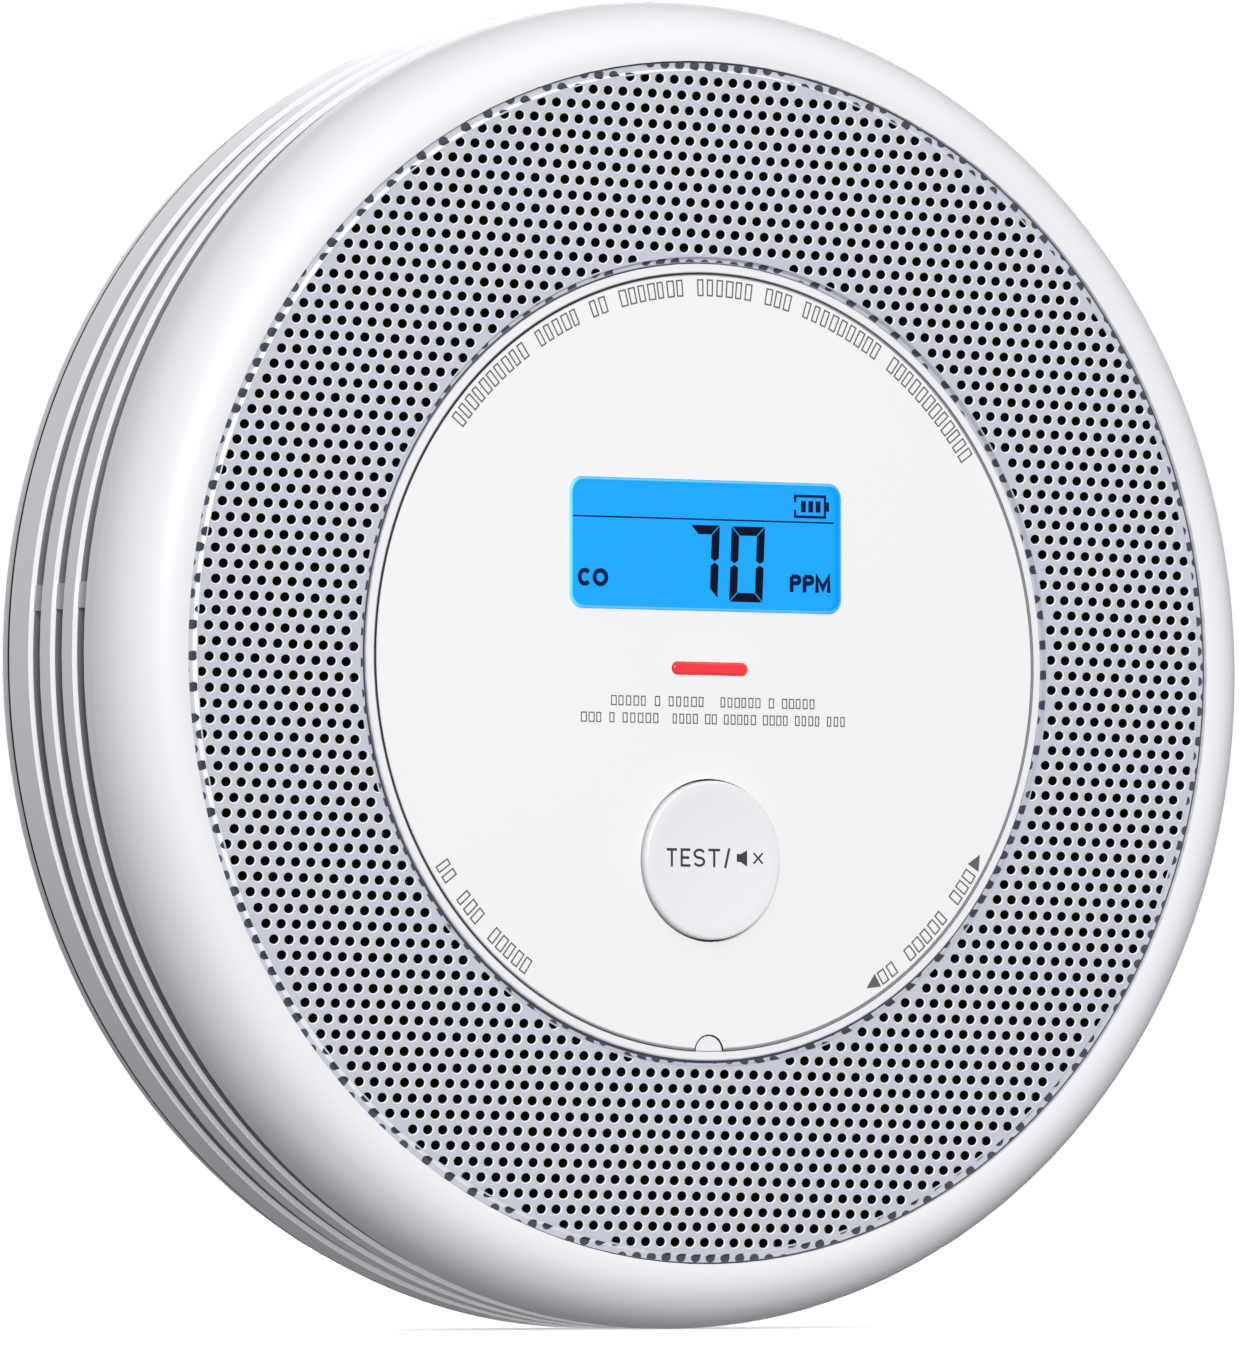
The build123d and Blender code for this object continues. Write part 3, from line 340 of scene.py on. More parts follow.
# Painted highlight: a light cyan glow on the window edge where it faces -X, dark blue where it
# faces +X.
edge_painted_highlight = painted_side_light("edge_painted_highlight", (0.15, 0.65, 1.0), (0.01, 0.18, 0.62), 0.45)
# Painted light: a blue glow on the window's inner wall.
wall_painted_glow = lit_cell("wall_painted_glow", (0.006, 0.31, 0.92), 1.0)
pane = clear_pane("window_clear")

slot_of = {part["node"]: part["material_slot"] for part in frame["record"]["subparts"]}
for name, part in nodes.items():
    if slot_of[name] in looks:
        part.data.materials.clear()
        part.data.materials.append(looks[slot_of[name]])


# ---------------------------------------------------------------- mesh helpers

def place(x, z, depth):
    return (x * MM, -depth * MM, z * MM)


def build(name, points, faces, materials, body, slots=None, sharp=35.0):
    mesh = bpy.data.meshes.new(name)
    mesh.from_pydata(points, [], faces)
    for material in materials:
        mesh.materials.append(material)
    if slots:
        mesh.polygons.foreach_set("material_index", slots)
    mesh.validate()
    mesh.shade_smooth()
    mesh.set_sharp_from_angle(angle=math.radians(sharp))
    made = bpy.data.objects.new(name, mesh)
    bpy.context.scene.collection.objects.link(made)
    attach(made, body)
    return made


def flipped(faces):
    return [tuple(reversed(face)) for face in faces]


def shifted(faces, first):
    """Faces renumbered to follow points that are already there."""
    return [tuple(v + first for v in face) for face in faces]


def rings(loops):
    """Points, and faces between successive loops of equal length, run the same way round."""
    count = len(loops[0])
    points = [p for loop in loops for p in loop]
    faces = []
    for k in range(len(loops) - 1):
        for j in range(count):
            i = (j + 1) % count
            faces.append((k * count + j, k * count + i, (k + 1) * count + i, (k + 1) * count + j))
    return points, faces


def circle(radius, depth, count, centre=(0.0, 0.0)):
    """Loop that runs counter-clockwise seen from the front."""
    return [
        place(
            centre[0] + radius * math.cos(2 * math.pi * k / count),
            centre[1] + radius * math.sin(2 * math.pi * k / count),
            depth,
        )
        for k in range(count)
    ]


def rounded_outline(width, height, corner, inset, centre, steps=10):
    """Points of a rounded rectangle drawn in by inset, counter-clockwise from the front."""
    radius = max(corner - inset, 0.05)
    half_w, half_h = width / 2 - inset - radius, height / 2 - inset - radius
    outline = []
    for quarter, (sx, sz) in enumerate(((1, 1), (-1, 1), (-1, -1), (1, -1))):
        for k in range(steps + 1):
            turn = math.radians(90 * quarter + 90 * k / steps)
            outline.append(
                (
                    centre[0] + sx * half_w + radius * math.cos(turn),
                    centre[1] + sz * half_h + radius * math.sin(turn),
                )
            )
    return outline


def arc(cx, cz, rx, rz, start_angle, end_angle, steps=10):
    """Points of an elliptical arc; angles in degrees from +X towards +Z."""
    return [
        (
            cx + rx * math.cos(math.radians(start_angle + (end_angle - start_angle) * k / steps)),
            cz + rz * math.sin(math.radians(start_angle + (end_angle - start_angle) * k / steps)),
        )
        for k in range(steps + 1)
    ]


class Print:
    """Collects thin raised shapes, such as ink, and turns them into one mesh.

    Successive shapes differ a little in height, so that no two overlapping tops coincide.
    """

    LAYER_STEP = 0.0015
    LAYERS = 4

    def __init__(self, depth, thickness=0.02, bend=None):
        self.depth, self.thickness, self.bend = depth, thickness, bend
        self.points, self.faces, self.layer = [], [], 0

    def shape(self, outline):
        """A convex or simple outline, counter-clockwise seen from the front."""
        top = self.thickness + self.LAYER_STEP * (self.layer % self.LAYERS)
        self.layer += 1
        first, count = len(self.points), len(outline)
        for lift in (0.0, top):
            for x, z in outline:
                depth = self.depth(x, z) if callable(self.depth) else self.depth
                bent_x, bent_z = self.bend(x, z) if self.bend else (x, z)
                self.points.append(place(bent_x, bent_z, depth + lift))
        self.faces.append(tuple(range(first + count, first + 2 * count)))
        for j in range(count):
            i = (j + 1) % count
            self.faces.append((first + j, first + i, first + count + i, first + count + j))

    def line(self, path, width, closed=False):
        """A ribbon of even width along a path, mitred at its corners."""
        count = len(path)
        sides = []
        for k, (x, z) in enumerate(path):
            before = path[(k - 1) % count] if closed or k else None
            after = path[(k + 1) % count] if closed or k < count - 1 else None
            steps = []
            if before:
                steps.append(Vector((x - before[0], z - before[1])).normalized())
            if after:
                steps.append(Vector((after[0] - x, after[1] - z)).normalized())
            along = sum(steps, Vector((0, 0))).normalized()
            across = Vector((-along.y, along.x))
            stretch = max(0.5, abs(across.dot(Vector((-steps[0].y, steps[0].x)))))
            off = across * (width / 2 / stretch)
            sides.append(((x + off.x, z + off.y), (x - off.x, z - off.y)))
        for k in range(count if closed else count - 1):
            a, b = sides[k], sides[(k + 1) % count]
            self.shape([a[1], b[1], b[0], a[0]])
            self.layer -= 1
        self.layer += 1

    def box(self, x0, z0, x1, z1):
        self.shape([(x0, z0), (x1, z0), (x1, z1), (x0, z1)])

    def done(self, name, material, body):
        return build(name, self.points, self.faces, [material], body, sharp=20.0)


# ---------------------------------------------------------------- grille

HOLE_LONG, HOLE_SHORT = 0.525, 0.45
HOLE_LEAN = math.radians(17.0)
HOLE_BEVEL = 0.12
BEVEL_DROP = 0.10
BEVEL_MARGIN, WALL_MARGIN = 0.10, 0.13
HOLE_DEPTH = 1.35
GRILLE_DEPTH = 1.55
EDGE_BEVEL = 0.06
COLUMN = Vector((1.6266, -0.0248))
ROW = Matrix.Rotation(math.radians(-0.87), 2) @ Vector((0.7694, 1.4320))
FIRST_HOLE = Vector((0.352, 0.061))
FIELD_IN, FIELD_OUT = 38.0, 55.45
BAND_IN = 37.5
RIM_IN = BAND_IN - 0.04
BAND_DROP = 0.42
RISER = 0.22
SIDES = 12
RIM_STEPS = 288
MARK_SIDES = 16
MARK_HEIGHT = 0.02
ROW_REACH, COLUMN_REACH = 60, 80


def held(x, z, low, high):
    """The point moved radially into the ring low..high."""
    radius = math.hypot(x, z)
    wanted = min(max(radius, low), high)
    return x * wanted / radius, z * wanted / radius


def hole_reach(turn):
    """Radius of a slightly oval hole, whose long axis leans up to the right."""
    along = math.cos(turn - HOLE_LEAN) / HOLE_LONG
    across = math.sin(turn - HOLE_LEAN) / HOLE_SHORT
    return 1 / math.hypot(along, across)


def lattice(reach):
    """Hole centres nearer the middle than reach."""
    for row in range(-ROW_REACH, ROW_REACH + 1):
        for column in range(-COLUMN_REACH, COLUMN_REACH + 1):
            spot = FIRST_HOLE + column * COLUMN + row * ROW
            if spot.length < reach:
                yield spot


def cell_corners():
    """Corners of the six-sided cell round each hole: centres of the triangles round it."""
    ways = [COLUMN, ROW, ROW - COLUMN, -COLUMN, -ROW, COLUMN - ROW]
    corners = []
    for k in range(6):
        a, b = ways[k], ways[(k + 1) % 6]
        cross = 2 * (a.x * b.y - a.y * b.x)
        aa, bb = a.length_squared, b.length_squared
        corners.append(Vector(((b.y * aa - a.y * bb) / cross, (a.x * bb - b.x * aa) / cross)))
    return corners


def make_grille():
    """The raised field with its bevelled holes, and the stepped rims on both sides of it."""
    corners = cell_corners()
    points, faces, slots, index = [], [], [], {}

    def corner_at(x, z):
        key = (round(x, 3), round(z, 3))
        if key not in index:
            index[key] = len(points)
            points.append(place(x, z, FACE))
        return index[key]

    for spot in lattice(GRILLE_OUTER + 2):
        ring = []
        inside = 0
        for k in range(6):
            for share in (0.0, 0.5):
                raw = spot + corners[k].lerp(corners[(k + 1) % 6], share)
                inside += FIELD_IN < raw.length < FIELD_OUT
                ring.append(raw)
        if not inside:
            continue
        outer = [corner_at(*held(p.x, p.y, FIELD_IN, FIELD_OUT)) for p in ring]
        radius = spot.length
        if not FIELD_IN + 0.05 < radius < FIELD_OUT - 0.05:
            loop = [v for k, v in enumerate(outer) if v != outer[k - 1]]
            if len(set(loop)) >= 3:
                faces.append(tuple(loop))
                slots.append(0)
            continue
        loops = []
        for extra, depth, margin in (
            (HOLE_BEVEL, FACE, BEVEL_MARGIN),
            (0.0, FACE - BEVEL_DROP, WALL_MARGIN),
            (0.0, FACE - HOLE_DEPTH, WALL_MARGIN),
        ):
            first = len(points)
            for p in ring:
                away = (p - spot).normalized()
                away *= hole_reach(math.atan2(away.y, away.x)) + extra
                x, z = held(spot.x + away.x, spot.y + away.y, FIELD_IN + margin, FIELD_OUT - margin)
                points.append(place(x, z, depth))
            loops.append(list(range(first, first + SIDES)))
        # Slot 2 paints a highlight on each hole's bevel, slot 1 paints shadow on its wall.
        bands = ((outer, loops[0], 0), (loops[0], loops[1], 2), (loops[1], loops[2], 1))
        for a, b, slot in bands:
            for j in range(SIDES):
                i = (j + 1) % SIDES
                face = [a[j], a[i], b[i], b[j]]
                if a[i] == a[j]:
                    face = [a[j], b[i], b[j]]
                faces.append(tuple(face))
                slots.append(slot)
    field_looks = [looks["grille_grey"], hole_painted_shadow, bevel_painted_highlight]
    field = build("grille_field", points, faces, field_looks, "housing", slots, 25.0)
    band_level = FACE - BAND_DROP
    steps_out = (
        (FIELD_OUT, FACE),
        (FIELD_OUT + RISER, band_level),
        (GRILLE_OUTER - EDGE_BEVEL, band_level),
        (GRILLE_OUTER, band_level - EDGE_BEVEL),
        (GRILLE_OUTER, FACE - GRILLE_DEPTH),
        (FIELD_OUT, FACE - GRILLE_DEPTH),
    )
    steps_in = (
        (FIELD_IN, FACE),
        (FIELD_IN - RISER, band_level),
        (RIM_IN + EDGE_BEVEL, band_level),
        (RIM_IN, band_level - EDGE_BEVEL),
        (RIM_IN, FACE - GRILLE_DEPTH),
        (FIELD_IN, FACE - GRILLE_DEPTH),
    )
    points, faces = rings([circle(r, d, RIM_STEPS) for r, d in steps_out])
    faces = flipped(faces)
    more, extra = rings([circle(r, d, RIM_STEPS) for r, d in steps_in])
    faces += shifted(extra, len(points))
    # Painted highlight: the outer riser's faces take the glowing near-white, the rest the grille
    # grey.
    riser_highlight_faces = [1] * RIM_STEPS + [0] * (len(faces) - RIM_STEPS)
    rims = build(
        "grille_rims", points + more, faces, [looks["grille_grey"], shoulder_highlight], "housing",
        riser_highlight_faces,
    )
    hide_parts("grille")


def edge_depth(x, z):
    """Depth of the grille's stepped edges, with their sloping risers."""
    radius = math.hypot(x, z)
    past = max(FIELD_IN - radius, radius - FIELD_OUT, 0.0)
    return FACE - BAND_DROP * min(1.0, past / RISER)


def make_band_holes():
    """Dark marks for the holes that go on over the sloping risers and the two stepped-down bands:
    painted shade, not cut holes.
    """
    marks = Print(edge_depth, MARK_HEIGHT)
    margin = 0.36
    for low, high in (
        (BAND_IN + 0.04, FIELD_IN - RISER),
        (FIELD_IN - RISER, FIELD_IN - 0.03),
        (FIELD_OUT + 0.03, FIELD_OUT + RISER),
        (FIELD_OUT + RISER, GRILLE_OUTER - 0.07),
    ):
        for spot in lattice(GRILLE_OUTER + 1):
            if not low - margin < spot.length < high + margin:
                continue
            outline = []
            for k in range(MARK_SIDES):
                turn = 2 * math.pi * k / MARK_SIDES
                reach = hole_reach(turn)
                x, z = spot.x + reach * math.cos(turn), spot.y + reach * math.sin(turn)
                outline.append(held(x, z, low, high))
            marks.shape(outline)
    marks.done("grille_band_hole_shade", band_painted_shade, "housing")


SHELL_RADIUS = cover_high.x / MM
SHELL_BACK = -cover_high.y / MM
SEAM_STEPS = 240
SEAM_RADIUS = SHELL_RADIUS - 0.14
SEAM_FRONT, SEAM_BACK = SHELL_BACK + 0.02, SHELL_BACK - 0.27
DISC_GAP_IN, DISC_GAP_OUT = 36.41, 36.51
DISC_GAP_SHIFT = (0.08, -0.04)
DISC_SHADE_IN, DISC_SHADE_OUT = 36.28, DISC_GAP_OUT + 0.03
HUB_GAP_IN, HUB_GAP_OUT = 37.35, 37.53
HUB_GAP_SHIFT = (0.0, -0.07)
RIM_GAP_IN, RIM_GAP_OUT = GRILLE_OUTER - 0.05, GRILLE_OUTER + 0.07
TAB_Z, TAB_GAP = -36.5, 1.52
GROOVE_COUNT, GROOVE_FIRST, GROOVE_PITCH, GROOVE_WIDTH = 3, 6.75, 4.1, 2.2
SHOULDER_OUT = SHELL_RADIUS - 0.03
SLOT_SHADOW_IN, SLOT_SHADOW_OUT = 60.6, SHELL_RADIUS - 0.54
SLOT_SHADOW_LIFT = 0.012
WEB_COUNT, WEB_FIRST, WEB_ARC = 4, 175.1, 2.2
WEB_FACE = SHELL_RADIUS - 0.455
WEB_STEPS = 4


def make_gap_lines():
    """Painted shadow in the seams round the disc, its tab, the hub, the grille and the plate's rim:
    dark rings where the gaps lie in shade.
    """
    count = SEAM_STEPS
    # Painted shade: a grey ring just under the disc's gap.
    level = FACE - 0.04
    points, faces = rings([circle(DISC_SHADE_OUT, level, count), circle(DISC_SHADE_IN, level, count)])
    build("disc_gap_shade", points, faces, [painted_shade_grey], "housing")
    # Painted shadow: a near-black ring over the disc's gap, shifted so it is wider on the left.
    level = FACE + 0.006
    disc_edge = circle(DISC_GAP_IN, level, count, DISC_GAP_SHIFT)
    points, faces = rings([circle(DISC_GAP_OUT, level, count), disc_edge])
    build("disc_seam", points, faces, [gap_painted_shadow], "housing")
    # Painted shadow in the gap round the hub, shifted so it is wider at the bottom.
    level = FACE - BAND_DROP + 0.03
    hub_edge = circle(HUB_GAP_OUT, level, count, HUB_GAP_SHIFT)
    points, faces = rings([hub_edge, circle(HUB_GAP_IN, level, count)])
    build("hub_seam", points, faces, [band_painted_shade], "housing")
    # Painted shadow round the tab, broad on the right arc and thin on the left.
    tab = Print(FACE, 0.012)
    tab.line(arc(0.0, TAB_Z, TAB_GAP, TAB_GAP, 4, 78, 12), 0.19)
    tab.line(arc(0.0, TAB_Z, TAB_GAP, TAB_GAP, 78, 176, 14), 0.07)
    tab.done("tab_seam", gap_painted_shadow, "housing")
    # Painted shadow in the gap between the grille and the rim.
    level = FACE - BAND_DROP + 0.02
    points, faces = rings([circle(r, level, count) for r in (RIM_GAP_OUT, RIM_GAP_IN)])
    build("grille_seam", points, faces, [band_painted_shade], "housing")
    # Painted shadow in the gap between the plate's rim and the shell.
    points, faces = rings([circle(SEAM_RADIUS, d, count) for d in (SEAM_FRONT, SEAM_BACK)])
    build("rear_seam", points, faces, [gap_painted_shadow], "housing")


def make_slot_painted_light():
    """Painted highlight on the groove shoulders, with painted shadow below it on the slots' back
    walls.
    """
    points, faces, slots = [], [], []
    for k in range(GROOVE_COUNT):
        depth = GROOVE_FIRST + k * GROOVE_PITCH - GROOVE_WIDTH / 2 + SLOT_SHADOW_LIFT
        radii = (SHOULDER_OUT, SLOT_SHADOW_OUT, SLOT_SHADOW_IN)
        more, extra = rings([circle(radius, depth, SEAM_STEPS) for radius in radii])
        faces += shifted(extra, len(points))
        slots += [0] * SEAM_STEPS + [1] * SEAM_STEPS
        points += more
    painted_light = build("slot_painted_light", points, faces, [shoulder_highlight, painted_shade_grey], "housing", slots)


def make_slot_webs():
    """Outer faces of the short webs between the slots, with painted shade: a darker grey than the
    shell.
    """
    points, faces = [], []
    for web in range(WEB_COUNT):
        for groove in range(GROOVE_COUNT):
            back = GROOVE_FIRST + groove * GROOVE_PITCH - GROOVE_WIDTH / 2
            first = len(points)
            for j in range(WEB_STEPS + 1):
                turn = WEB_FIRST + 360 / WEB_COUNT * web + WEB_ARC * (j / WEB_STEPS - 0.5)
                x = WEB_FACE * math.cos(math.radians(turn))
                z = WEB_FACE * math.sin(math.radians(turn))
                points += [place(x, z, back), place(x, z, back + GROOVE_WIDTH)]
            for j in range(first, first + 2 * WEB_STEPS, 2):
                faces.append((j, j + 2, j + 3, j + 1))
    webs = build("slot_webs", points, faces, [web_painted_shade], "housing")


make_grille()
make_band_holes()
make_gap_lines()
make_slot_painted_light()
make_slot_webs()


# ---------------------------------------------------------------- display

WINDOW_W = (window_high.x - window_low.x) / MM
WINDOW_H = (window_high.z - window_low.z) / MM
WINDOW_X = (window_high.x + window_low.x) / 2 / MM
WINDOW_Z = (window_high.z + window_low.z) / 2 / MM
WINDOW_FRONT = -window_low.y / MM
WINDOW_CORNER = 1.4
WALL_INSET = 0.20
DISPLAY = 24.0
MARK_SHIFT = -0.28
DIGIT_STROKE, DIGIT_GAP, DIGIT_SLANT = 0.86, 0.07, 0.042
ICON_STROKE = 0.42
BATTERY_LOW, BATTERY_HIGH = 13.9, 15.85
BATTERY_BARS, BATTERY_BAR_PITCH = 3, 0.82


def window_loop(inset, depth):
    """The window's outline drawn in by inset."""
    outline = rounded_outline(WINDOW_W, WINDOW_H, WINDOW_CORNER, inset, (WINDOW_X, WINDOW_Z))
    return [place(x, z, depth) for x, z in outline]


def make_window():
    """Softened edge with a painted highlight, inner wall with a painted glow, clear pane of the
    window, and the lit ground behind it.
    """
    edge = [
        window_loop(0.0, DISPLAY - 0.2),
        window_loop(0.0, WINDOW_FRONT - 0.16),
        window_loop(0.03, WINDOW_FRONT - 0.08),
        window_loop(0.09, WINDOW_FRONT - 0.02),
        window_loop(0.16, WINDOW_FRONT),
        window_loop(WALL_INSET, WINDOW_FRONT),
    ]
    points, faces = rings(edge)
    build("window_edge", points, flipped(faces), [edge_painted_highlight], "housing")
    wall = [
        window_loop(WALL_INSET, WINDOW_FRONT - 0.01),
        window_loop(WALL_INSET + 0.02, WINDOW_FRONT - 0.3),
        window_loop(WALL_INSET + 0.06, DISPLAY),
    ]
    points, faces = rings(wall)
    build("window_wall", points, flipped(faces), [wall_painted_glow], "housing")
    loop = window_loop(WALL_INSET - 0.01, WINDOW_FRONT - 0.005)
    lens = build("window_pane", loop, [tuple(range(len(loop)))], [pane], "housing")
    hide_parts("lcd_window")
    loop = window_loop(0.12, DISPLAY)
    cell = build("display_cell", loop, [tuple(range(len(loop)))], [cell_blue], "housing")


def digit(marks, x, z, width, height, lit):
    """Seven-segment digit; lit names its segments, a to f. No digit here lights the middle."""
    thick, gap = DIGIT_STROKE, DIGIT_GAP
    middle = height / 2
    point = 0.30 * thick
    upright = [
        (width, height - gap),
        (width - thick, height - thick - gap),
        (width - thick, middle + gap + point),
        (width - thick / 2, middle + gap),
        (width, middle + gap + point),
    ]
    flat = [
        (gap, height),
        (thick + gap, height - thick),
        (width - thick - gap, height - thick),
        (width - gap, height),
    ]
    shapes = {
        "a": flat,
        "b": upright,
        "c": [(px, height - pz) for px, pz in reversed(upright)],
        "d": [(px, height - pz) for px, pz in reversed(flat)],
        "e": [(width - px, height - pz) for px, pz in upright],
        "f": [(width - px, pz) for px, pz in reversed(upright)],
    }
    for name in lit:
        outline = [(x + px + DIGIT_SLANT * pz, z + pz) for px, pz in shapes[name]]
        marks.shape(outline)


def glyph(marks, mark, x, z, width, height, stroke):
    """Plain stroke letters, only the few that generic legends need."""
    half = stroke / 2
    left, right, low, high = x + half, x + width - half, z + half, z + height - half
    mid = (low + high) / 2
    centre = (left + right) / 2
    rx, rz = (right - left) / 2, (high - low) / 2
    if mark == "T":
        marks.line([(x, high), (x + width, high)], stroke)
        marks.line([(centre, high), (centre, z)], stroke)
    elif mark == "E":
        marks.line([(x + width, high), (left, high), (left, low), (x + width, low)], stroke)
        marks.line([(left, mid), (x + width - half, mid)], stroke)
    elif mark == "S":
        upper = arc(centre, mid + rz / 2, rx, rz / 2, 20, 270)
        lower = arc(centre, mid - rz / 2, rx, rz / 2, 90, -160)
        marks.line(upper + lower[1:], stroke)
    elif mark == "C":
        marks.line(arc(centre, mid, rx, rz, 42, 318, 16), stroke)
    elif mark == "O":
        marks.line(arc(centre, mid, rx, rz, 0, 340, 17), stroke, closed=True)
    elif mark == "P":
        marks.line([(left, z), (left, high)], stroke)
        bowl = arc(right - rz / 2, high - rz / 2, rz / 2, rz / 2, 90, -90)
        marks.line([(left, high)] + bowl + [(left, high - rz)], stroke)
    elif mark == "M":
        marks.line(
            [(left, z), (left, high), (centre, z + stroke), (right, high), (right, z)], stroke
        )
    elif mark == "/":
        marks.line([(x, z - stroke * 0.3), (x + width, z + height + stroke * 0.3)], stroke)


def make_display_marks():
    """Two digits, the battery symbol, the divider line and the two short unit legends."""
    digits = Print(DISPLAY, 0.02)
    digit(digits, MARK_SHIFT - 1.66, 6.0, 3.28, 6.85, "abc")
    digit(digits, MARK_SHIFT + 2.92, 5.72, 3.70, 7.10, "abcdef")
    digits.done("display_digits", segment_dark, "housing")
    marks = Print(DISPLAY, 0.015)
    marks.box(-14.9, 13.31, 14.3, 13.46)
    left, right = MARK_SHIFT + 10.28, MARK_SHIFT + 13.62
    bracket = [
        (left, 14.55),
        (left, BATTERY_LOW),
        (right, BATTERY_LOW),
        (right, BATTERY_HIGH),
        (left, BATTERY_HIGH),
        (left, 15.25),
    ]
    marks.line(bracket, 0.26)
    marks.box(right + 0.1, 14.45, right + 0.46, 15.35)
    for k in range(BATTERY_BARS):
        bar = left + 0.66 + BATTERY_BAR_PITCH * k
        marks.box(bar, 14.34, bar + 0.54, 15.41)
    for mark, x, width in (("C", -13.78, 1.55), ("O", -12.15, 1.72)):
        glyph(marks, mark, MARK_SHIFT + x, 6.85, width, 1.70, ICON_STROKE)
    for mark, x, width in (("P", 9.68, 1.3), ("P", 11.12, 1.3), ("M", 12.52, 1.72)):
        glyph(marks, mark, MARK_SHIFT + x, 6.78, width, 1.68, ICON_STROKE)
    marks.done("display_icons", icon_blue, "housing")


make_window()
make_display_marks()


# ---------------------------------------------------------------- printing

ARC_STROKE, ROW_STROKE = 0.14, 0.11
ROW_HEIGHT = 0.95
PRINT_HEIGHT = 0.012
TRIANGLE_RADIUS, TRIANGLE_LENGTH, TRIANGLE_WIDTH = 35.15, 0.75, 0.7


def placeholder(marks, x, z, width, height, stroke):
    """An empty letter box: it stands for one printed letter without being one."""
    half = stroke / 2
    left, right, low, high = x + half, x + width - half, z + half, z + height - half
    marks.line([(left, low), (right, low), (right, high), (left, high)], stroke, closed=True)


def word_row(marks, words, start_x, end_x, z, height, stroke, gap):
    """Words of placeholder letters that fill a row; words holds each word's letter count."""
    letters = sum(words)
    spaces = len(words) - 1
    pitch = (end_x - start_x - gap * spaces) / letters
    x = start_x
    for count in words:
        for _ in range(count):
            width = pitch * dice.uniform(0.62, 0.80)
            placeholder(marks, x, z, width, height, stroke)
            x += pitch
        x += gap


def arc_row(words, first_angle, last_angle, low, high, stroke, gap, inward):
    """The same along an arc of the disc; angles in degrees from +X, tops outward or inward.

    Inward rows have their feet towards the disc's middle.
    """
    middle = (low + high) / 2
    length = math.radians(abs(last_angle - first_angle)) * middle

    def bend(x, z):
        turn = math.radians(first_angle + (last_angle - first_angle) * x / length)
        radius = low + z if inward else high - z
        return radius * math.cos(turn), radius * math.sin(turn)

    marks = Print(FACE, PRINT_HEIGHT, bend)
    word_row(marks, words, 0.0, length, 0.0, high - low, stroke, gap)
    if inward:
        marks.faces = flipped(marks.faces)
    return marks


def make_printing():
    """Three arcs and two rows of empty letter boxes, and two plain triangles."""
    arcs = (
        ("print_arc_top", (10, 5, 2, 7, 6, 3, 9, 12), 141.8, 34.0, 34.3, 35.9, 1.25, True),
        ("print_arc_left", (2, 3, 5), 213.2, 236.0, 34.2, 35.75, 1.5, False),
        ("print_arc_right", (2, 5, 3), 302.8, 327.0, 34.5, 35.85, 1.3, False),
    )
    for name, words, first, last, low, high, gap, inward in arcs:
        marks = arc_row(words, first, last, low, high, ARC_STROKE, gap, inward)
        marks.done(name, ink, "housing")
    marks = Print(FACE, PRINT_HEIGHT)
    rows = (
        ((5, 1, 5), -10.8, -0.3, -4.25, 0.7),
        ((6, 1, 5), 1.3, 12.0, -4.25, 0.7),
        ((3, 1, 5), -14.1, -5.3, -5.85, 0.6),
        ((4, 2, 5, 4, 4, 3), -4.0, 15.4, -5.85, 0.6),
    )
    for words, start_x, end_x, z, gap in rows:
        word_row(marks, words, start_x, end_x, z, ROW_HEIGHT, ROW_STROKE, gap)
    for turn, tip in ((301.2, -1), (328.6, 1)):
        angle = math.radians(turn)
        centre = Vector((TRIANGLE_RADIUS * math.cos(angle), TRIANGLE_RADIUS * math.sin(angle)))
        along = Vector((-math.sin(angle), math.cos(angle))) * tip * TRIANGLE_LENGTH
        across = Vector((math.cos(angle), math.sin(angle))) * TRIANGLE_WIDTH
        corners = [centre + along, centre - along + across, centre - along - across]
        if tip < 0:
            corners.reverse()
        marks.shape([(p.x, p.y) for p in reversed(corners)])
    marks.done("print_rows", ink, "housing")


BUTTON_X = (button_low.x + button_high.x) / 2 / MM
BUTTON_Z = (button_low.z + button_high.z) / 2 / MM
BUTTON_FRONT = -button_low.y / MM
DISH_EDGE, DISH_DROP, DISH_LIFT = 6.55, 0.35, 0.004


def dish_depth(x, z):
    """A hair above the surface of the button's dished face."""
    away = math.hypot(x - BUTTON_X, z - BUTTON_Z)
    return BUTTON_FRONT - DISH_DROP * max(0.0, 1 - (away / DISH_EDGE) ** 2) + DISH_LIFT


def make_button_legend():
    """One generic word, a stroke and a mute symbol."""
    marks = Print(dish_depth, PRINT_HEIGHT)
    low, height, stroke = -19.24, 1.72, 0.24
    for mark, x, width in (
        ("T", -5.03, 1.18),
        ("E", -3.43, 1.10),
        ("S", -1.97, 1.32),
        ("T", -0.30, 1.30),
        ("/", 1.55, 0.45),
    ):
        glyph(marks, mark, x, low, width, height, stroke)
    marks.box(2.82, -18.72, 3.22, -17.98)
    marks.shape([(3.22, -18.72), (3.92, -19.14), (3.92, -17.62), (3.22, -17.98)])
    middle, reach = -18.36, 0.5
    for side in (-1, 1):
        marks.line([(4.62, middle - side * reach), (5.58, middle + side * reach)], 0.17)
    marks.done("button_legend", ink_dark, "button")


